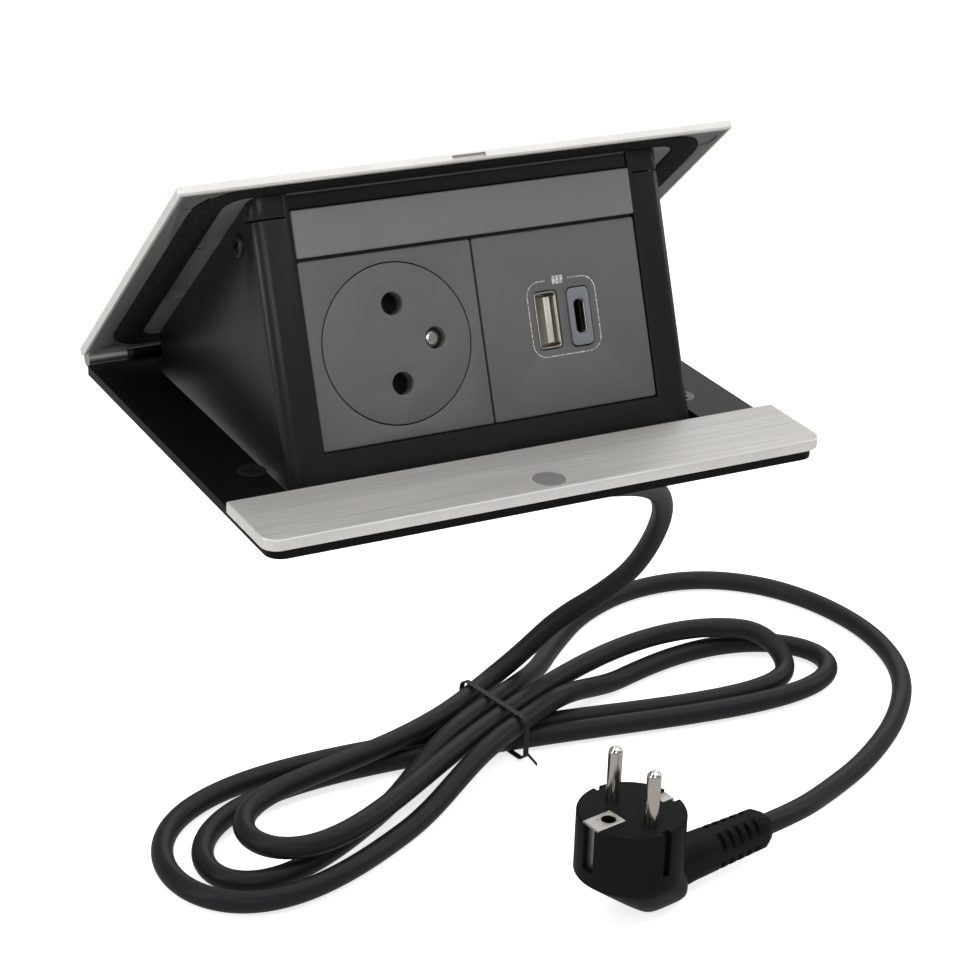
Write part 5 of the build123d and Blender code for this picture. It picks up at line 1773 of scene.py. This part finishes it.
@dataclass
class Cord:
    """The supply cord, its gland and its tie.

    Its line repeats the routes and the hank of the source.

    Args:
        shop: what builds the pieces.
        radius: the cord's radius.
        pitch: the distance of two cords side by side in the hank, and of its two levels.
        lift: how far the hank lies over the floor.
        centre: the hank's middle.
        angle: how its length is turned.
        steps: the control points of each lobe.
        tip: where the cord leaves the gland.
        free_at: the drop's point past which the cord no longer follows the lid; not used.
        lanes: where each lobe starts and ends across the hank's middle, in pitches.
        run_in: how far before the hank its first control point lies.
        run_out: how far past it the last one lies.
        plug_end: the cord's end in the plug's frame, and a point before it.
        sides: the sides of the cord's section.
        step: the length of one of its segments, in metres.
    """

    shop: Shop
    radius: float = 3.8
    pitch: float = 8.5
    lift: float = 0.5
    centre: Span = (126.9, 210.7)
    angle: float = math.radians(10.7)
    steps: int = 36
    tip: Point = (45.0, 41.0, -24.6)
    free_at: Point = DROP[2]
    lanes: tuple = (2.2, 0.0, 0.55, -1.05, -0.55, 1.05)
    run_in: float = 14.0
    run_out: float = 18.0
    plug_end: tuple = ((61.4, 0, 11.0), (77.4, 0, 11.0))
    near_end: float = 0.001
    sides: int = 28
    step: float = 0.0022

    def lobe_point(self, number: int, share: float) -> Vector:
        """A point of one lobe.

        Args:
            number: which lobe.
            share: how far along it, from 0 to 1.

        Returns:
            The point, in millimetres.
        """
        lobe = LOBES[number]
        along = (math.cos(self.angle) * lobe.side, math.sin(self.angle) * lobe.side)
        across = (-math.sin(self.angle), math.cos(self.angle))
        swell = math.sin(math.pi * share)
        fade = math.cos(math.pi * share / 2) ** 2
        travel = lobe.reach * swell
        drift = lobe.spread * math.sin(2 * math.pi * share) * swell + lobe.sway * swell**2
        drift += travel * (lobe.slope * fade - CROSS_SLOPE * (1 - fade))
        start, end = self.lanes[number : number + 2]
        smooth = eased(share)
        drift += (start * (1 - smooth) + end * smooth) * self.pitch
        x, y = (
            middle + ahead * travel + aside * drift
            for middle, ahead, aside in zip(self.centre, along, across)
        )
        return Vector((x, y, FLOOR + self.lift + self.radius + self._level(lobe, share) * self.pitch))

    def _level(self, lobe: Lobe, share: float) -> float:
        """A lobe's level at a share of its length.

        Args:
            lobe: the lobe.
            share: how far along it, from 0 to 1.

        Returns:
            The level, counted in cords.
        """
        level = lobe.climbs[0][1]
        for (start, low), (end, high) in zip(lobe.climbs, lobe.climbs[1:]):
            if share > start:
                level = low + (high - low) * eased(min(1, (share - start) / (end - start)))
        return level

    def hank(self) -> list[Vector]:
        """The hank's control points.

        Returns:
            The points, in millimetres.
        """
        points = [self.lobe_point(0, 0.0)]
        for number in range(len(LOBES)):
            points += [self.lobe_point(number, step / self.steps) for step in range(1, self.steps + 1)]
        return points

    def route(self) -> list[Vector]:
        """Every control point of the cord.

        Returns:
            The points from the gland to the plug, in millimetres.
        """
        coil = self.hank()
        last = len(LOBES) - 1
        start_way = (self.lobe_point(0, self.near_end) - self.lobe_point(0, 0.0)).normalized()
        end_way = (self.lobe_point(last, 1.0) - self.lobe_point(last, 1 - self.near_end)).normalized()
        end, before = (PLUG @ Vector(point) for point in self.plug_end)
        drop = [Vector(point) for point in (self.tip, *DROP)]
        lead = [Vector(point) for point in LEAD]
        before_hank = coil[0] - self.run_in * start_way
        after_hank = coil[-1] + self.run_out * end_way
        return [*drop, before_hank, *coil, after_hank, *lead, before, end]

    def line(self) -> list[Vector]:
        """The smooth centre line, from a NURBS spline over the route.

        Returns:
            The line's points, in metres.
        """
        data = bpy.data.curves.new("cord_line", "CURVE")
        data.dimensions = "3D"
        data.resolution_u = 8
        spline = data.splines.new("NURBS")
        points = self.route()
        spline.points.add(len(points) - 1)
        for made, point in zip(spline.points, points):
            made.co = (*(MM * point), 1.0)
        spline.order_u = 3
        spline.use_endpoint_u = True
        host = bpy.data.objects.new("cord_line", data)
        bpy.context.scene.collection.objects.link(host)
        mesh = settled_mesh(host)
        line = [vertex.co.copy() for vertex in mesh.vertices]
        bpy.data.objects.remove(host)
        bpy.data.meshes.remove(mesh)
        return line

    def build(self, riders: list[bpy.types.Object]) -> None:
        """Builds the cord, its tie and its gland.

        Args:
            riders: the plug's pieces, which lie on the cord's end; not used.
        """
        line = self.line()
        material = self.shop.dresser.material(CORD_BLACK)
        tree = tube_tree("cord", MM * self.radius, self.step, self.sides, material)
        cord = tree.run("supply_cord", polyline(line))
        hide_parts("cord_drop", "cord_hank", "cord_lead")
        tie = Tie(self).build()
        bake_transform(cord)
        Gland(self).build()


@dataclass
class Tie:
    """The flat tie round the hank, with its twisted tail.

    Args:
        cord: the cord that it holds.
        gap: how far it stands off the outer cords.
        wall: its thickness.
        half: half its width.
        low_lane: which of the cord's lanes is the outermost on its near side.
        tail_reach: how far the tail stands out.
        tail_drop: how far its end sinks.
        tail_turns: its turns.
        tail_half: the half sizes of its section.
    """

    cord: Cord
    gap: float = 1.4
    wall: float = 0.45
    half: float = 1.1
    low_lane: int = 3
    bore_half: float = 3.0
    slack: float = 0.5
    tail_reach: float = 6.5
    tail_drop: float = 2.0
    tail_root: float = 0.2
    tail_turns: int = 3
    tail_steps: int = 44
    tail_half: Span = (0.665, 0.315)
    tail_power: float = 2.5
    tail_sides: int = 24

    def build(self) -> bpy.types.Object:
        """Builds the tie.

        Returns:
            The finished piece.
        """
        cord, shop, wall = self.cord, self.cord.shop, self.wall
        near = cord.lanes[self.low_lane] * cord.pitch - cord.radius - self.gap
        far = cord.lanes[0] * cord.pitch + cord.radius + self.gap
        height = cord.lift + 2 * cord.radius + cord.pitch + wall + self.slack
        outside = rounded((near - wall, far + wall), (0, height), cord.radius)
        inside = rounded((near, far), (wall, height - wall), cord.radius - wall)
        ring = shop.prism(outside, -self.half, self.half)
        hole = shop.prism(inside, -self.bore_half, self.bore_half)
        shop.combine(ring, [hole], "DIFFERENCE")
        shop.combine(ring, [self._tail(near - self.tail_root)], "UNION")
        turn = Matrix.Rotation(cord.angle, 4, "Z")
        place = Matrix.Translation((*cord.centre, FLOOR)) @ turn @ SIDEWAYS
        return shop.piece(ring, "cord_tie_look", TIE_BLACK, "frame", place, ("cord_tie",))

    def _tail(self, root: float) -> bpy.types.Object:
        """The two ends, twisted together.

        Args:
            root: where the tail starts across the hank.

        Returns:
            The solid.
        """
        rings = []
        for step in range(self.tail_steps + 1):
            share = step / self.tail_steps
            turn = 2 * math.pi * self.tail_turns * share
            x = root - self.tail_reach * share
            height = self.cord.radius - self.tail_drop * share
            ring = []
            for u, v in squircle(self.tail_half, self.tail_power, self.tail_sides):
                up = u * math.cos(turn) - v * math.sin(turn)
                along = u * math.sin(turn) + v * math.cos(turn)
                ring.append((x, height + up, along))
            rings.append(ring)
        return self.cord.shop.loft(rings)


@dataclass
class Gland:
    """The ribbed rubber gland under the block.

    Args:
        cord: the cord that it holds.
        way: the direction in which the cord leaves it.
        level: the height of its flange's foot.
        radii: its radius towards its root, and what it loses up to its tip.
        rib_start: the first groove's distance from the tip.
        rib_pitch: the distance of two grooves.
        rib_half: half a groove's width.
        rib_depth: a groove's depth.
        flange: the radius and thickness of its flange.
    """

    cord: Cord
    way: Point = (0.3, 0.5, -0.8)
    level: float = -7.4
    radii: Span = (6.6, 1.4)
    steps: int = 60
    sides: int = 48
    ribs: int = 4
    rib_start: float = 3.5
    rib_pitch: float = 2.0
    rib_half: float = 0.55
    rib_depth: float = 0.75
    flange: Span = (9.5, 2.0)
    edge: float = 0.15

    def build(self) -> None:
        """Builds the gland."""
        shop = self.cord.shop
        tip = Vector(self.cord.tip)
        axis = Vector(self.way).normalized()
        reach = (tip.z - self.level) / axis.z
        body = shop.turned(self._profile(reach), self.sides)
        turn = Vector((0, 0, 1)).rotation_difference(axis).to_matrix().to_4x4()
        shop.soften(body, self.edge)
        shop.place(body, Matrix.Translation(tip) @ turn)
        root = tip - axis * reach
        radius, thickness = self.flange
        flange = shop.rod(0, 0, (0, thickness), radius)
        shop.place(flange, Matrix.Translation((root.x, root.y, self.level)))
        shop.combine(body, [flange], "UNION")
        shop.piece(body, "cord_gland_look", PLUG_BLACK, "lid", WORLD, ("cord_gland",))

    def _profile(self, reach: float) -> Outline:
        """The gland's radius against its height, which is 0 at the tip.

        Args:
            reach: its length.

        Returns:
            The profile from root to tip.
        """
        profile = []
        wide, loss = self.radii
        for step in range(self.steps + 1):
            height = -reach * (1 - step / self.steps)
            radius = wide - loss * (1 + height / (reach + wide))
            centres = [self.rib_start + self.rib_pitch * rib for rib in range(self.ribs)]
            groove = any(abs(height + centre) < self.rib_half for centre in centres)
            profile.append((radius - (self.rib_depth if groove else 0), height))
        return profile


KEPT = {
    "fixing_screws": SCREW_BLACK,
    "latch_bolt": STEEL,
    "latch_spring": STEEL,
    "hinge_pin": STEEL,
    "hinge_washers": TONGUE,
    "hinge_arms": ARM_METAL,
    "lid_lugs": ARM_METAL,
    "cheek_screws": SCREW_BLACK,
    "module_carrier": TONGUE,
    "socket_cover": TONGUE,
    "usb_cover": TONGUE,
    "contact_upper": BRASS,
    "contact_lower": BRASS,
    "usb_board": BOARD,
    "usb_c_tongue": TONGUE,
}


def dress_kept(dresser: Dresser, nodes: dict[str, bpy.types.Object]) -> None:
    """Dresses the CAD nodes that show as they are.

    Args:
        dresser: what makes the materials.
        nodes: the frame's objects by name.
    """
    for name, finish in KEPT.items():
        node = nodes[name]
        node.data.materials.clear()
        node.data.materials.append(dresser.material(finish))
        log.info("kept %s in %s", name, finish.name)


@dataclass(frozen=True)
class Softbox:
    """One lamp.

    Args:
        name: its name.
        place: where it stands, in metres.
        target: where it points.
        size: its width and height.
        watts: its power.
    """

    name: str
    place: Point
    target: Point
    size: Span
    watts: float


LAMPS = (
    Softbox("top", (0.1, 0.1, 1.1), (0.08, 0.1, 0.0), (1.8, 1.8), 13.5),
    Softbox("left", (-0.95, 0.1, 0.42), (0.0, 0.0, 0.0), (0.25, 1.0), 3.5),
    Softbox("front", (-0.35, -1.15, 0.75), (0.0, 0.05, 0.0), (0.9, 0.7), 4.0),
    Softbox("right", (1.0, 0.0, 0.5), (0.0, 0.0, 0.0), (0.5, 0.9), 2.5),
    Softbox("back", (0.95, 1.15, 0.66), (0.0, 0.0, 0.0), (1.2, 0.9), 4.0),
)


@dataclass
class Studio:
    """The camera, floor, backdrop and lights.

    Args:
        place: the camera's place, in millimetres.
        right: the camera's right.
        up: the camera's up.
        lens: the focal length, in millimetres.
        sensor: the sensor's width.
        sky: the colour of the light from the backdrop.
        sky_strength: how strong that light is.
        floor_half: half the floor's width, in metres.
        floor_gap: how far it lies below the object.
        floor_colour: its colour, which takes the shadow.
        floor_glow: what it adds of its own, so that it looks white.
        mirrored_floor: its colour where a glossy surface mirrors it.
    """

    place: Point = (-270.84, -510.62, 249.03)
    right: Point = (0.88804, -0.45875, 0.03062)
    up: Point = (0.16327, 0.37691, 0.91175)
    lens: float = 96.32
    sensor: float = 36.0
    sky: Point = (0.96, 0.98, 1.0)
    sky_strength: float = 0.26
    floor_half: float = 6.0
    floor_gap: float = 0.0004
    floor_colour: Point = (0.93, 0.93, 0.93)
    floor_roughness: float = 0.8
    floor_glow: float = 0.7
    mirrored_floor: Point = (0.46, 0.45, 0.435)
    made: list = field(default_factory=list)

    def build(self) -> None:
        """Sets up everything round the object."""
        bpy.context.scene.view_settings.view_transform = "Standard"
        self._camera()
        self._world()
        self._floor()
        for lamp in LAMPS:
            self._light(lamp)

    def _camera(self) -> None:
        """Makes the camera."""
        data = bpy.data.cameras.new("camera")
        data.lens = self.lens
        data.sensor_width = self.sensor
        data.dof.use_dof = False
        camera = bpy.data.objects.new("camera", data)
        right, up = Vector(self.right), Vector(self.up)
        back = right.cross(up)
        spin = Matrix((right, up, back)).transposed().to_4x4()
        camera.matrix_world = Matrix.Translation(MM * Vector(self.place)) @ spin
        bpy.context.scene.collection.objects.link(camera)
        bpy.context.scene.camera = camera

    def _world(self) -> None:
        """Makes the white backdrop and the softer light that it gives."""
        world = bpy.data.worlds.new("backdrop")
        world.use_nodes = True
        bpy.context.scene.world = world
        tree = world.node_tree
        tree.nodes.clear()
        seen = tree.nodes.new("ShaderNodeBackground")
        seen.inputs["Color"].default_value = (1, 1, 1, 1)
        lit = tree.nodes.new("ShaderNodeBackground")
        lit.inputs["Color"].default_value = (*self.sky, 1)
        lit.inputs["Strength"].default_value = self.sky_strength
        out = tree.nodes.new("ShaderNodeOutputWorld")
        self._choose(tree, "Is Camera Ray", lit, seen, out)

    def _floor(self) -> None:
        """Makes the pale floor, which keeps a soft shadow."""
        data = bpy.data.meshes.new("floor")
        half, level = self.floor_half, MM * FLOOR - self.floor_gap
        corners = [(-half, -half, level), (half, -half, level), (half, half, level), (-half, half, level)]
        data.from_pydata(corners, [], [(0, 1, 2, 3)])
        floor = bpy.data.objects.new("floor", data)
        material = bpy.data.materials.new("floor_pale")
        material.use_nodes = True
        tree = material.node_tree
        shader = tree.nodes["Principled BSDF"]
        shader.inputs["Base Color"].default_value = (*self.floor_colour, 1)
        shader.inputs["Roughness"].default_value = self.floor_roughness
        shader.inputs["Specular IOR Level"].default_value = 0.0
        shader.inputs["Emission Color"].default_value = (1, 1, 1, 1)
        shader.inputs["Emission Strength"].default_value = self.floor_glow
        dim = tree.nodes.new("ShaderNodeEmission")
        dim.inputs["Color"].default_value = (*self.mirrored_floor, 1)
        dim.inputs["Strength"].default_value = 1.0
        self._choose(tree, "Is Glossy Ray", shader, dim, tree.nodes["Material Output"])
        data.materials.append(material)
        bpy.context.scene.collection.objects.link(floor)
        self.made.append(floor)

    def _choose(
        self,
        tree: bpy.types.NodeTree,
        ray: str,
        usual: bpy.types.Node,
        special: bpy.types.Node,
        out: bpy.types.Node,
    ) -> None:
        """Gives one kind of ray a shader of its own.

        Args:
            tree: the tree of the material or the world.
            ray: the Light Path output that marks the kind.
            usual: the shader of all other rays.
            special: the shader of that kind.
            out: the tree's output.
        """
        path = tree.nodes.new("ShaderNodeLightPath")
        mix = tree.nodes.new("ShaderNodeMixShader")
        tree.links.new(path.outputs[ray], mix.inputs[0])
        tree.links.new(usual.outputs[0], mix.inputs[1])
        tree.links.new(special.outputs[0], mix.inputs[2])
        tree.links.new(mix.outputs[0], out.inputs["Surface"])

    def _light(self, lamp: Softbox) -> None:
        """Makes one softbox.

        Args:
            lamp: its place and power.
        """
        data = bpy.data.lights.new(lamp.name, "AREA")
        data.shape = "RECTANGLE"
        data.size, data.size_y = lamp.size
        data.energy = lamp.watts
        light = bpy.data.objects.new(f"light_{lamp.name}", data)
        aim = Vector(lamp.target) - Vector(lamp.place)
        turn = aim.to_track_quat("-Z", "Y").to_matrix().to_4x4()
        light.matrix_world = Matrix.Translation(lamp.place) @ turn
        bpy.context.scene.collection.objects.link(light)
        self.made.append(light)


def main() -> None:
    """Builds the scene."""
    logging.basicConfig(level=logging.INFO, format="%(name)s %(message)s")
    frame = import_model()
    dresser = Dresser()
    shop = Shop(dresser)
    for part in (Base(shop), Springs(shop), Lid(shop), Block(shop), Modules(shop), Outlets(shop)):
        part.build()
    riders = Plug(shop).build()
    Cord(shop).build(riders)
    dress_kept(dresser, frame["nodes"])
    Studio().build()


if __name__ == "__main__":
    main()
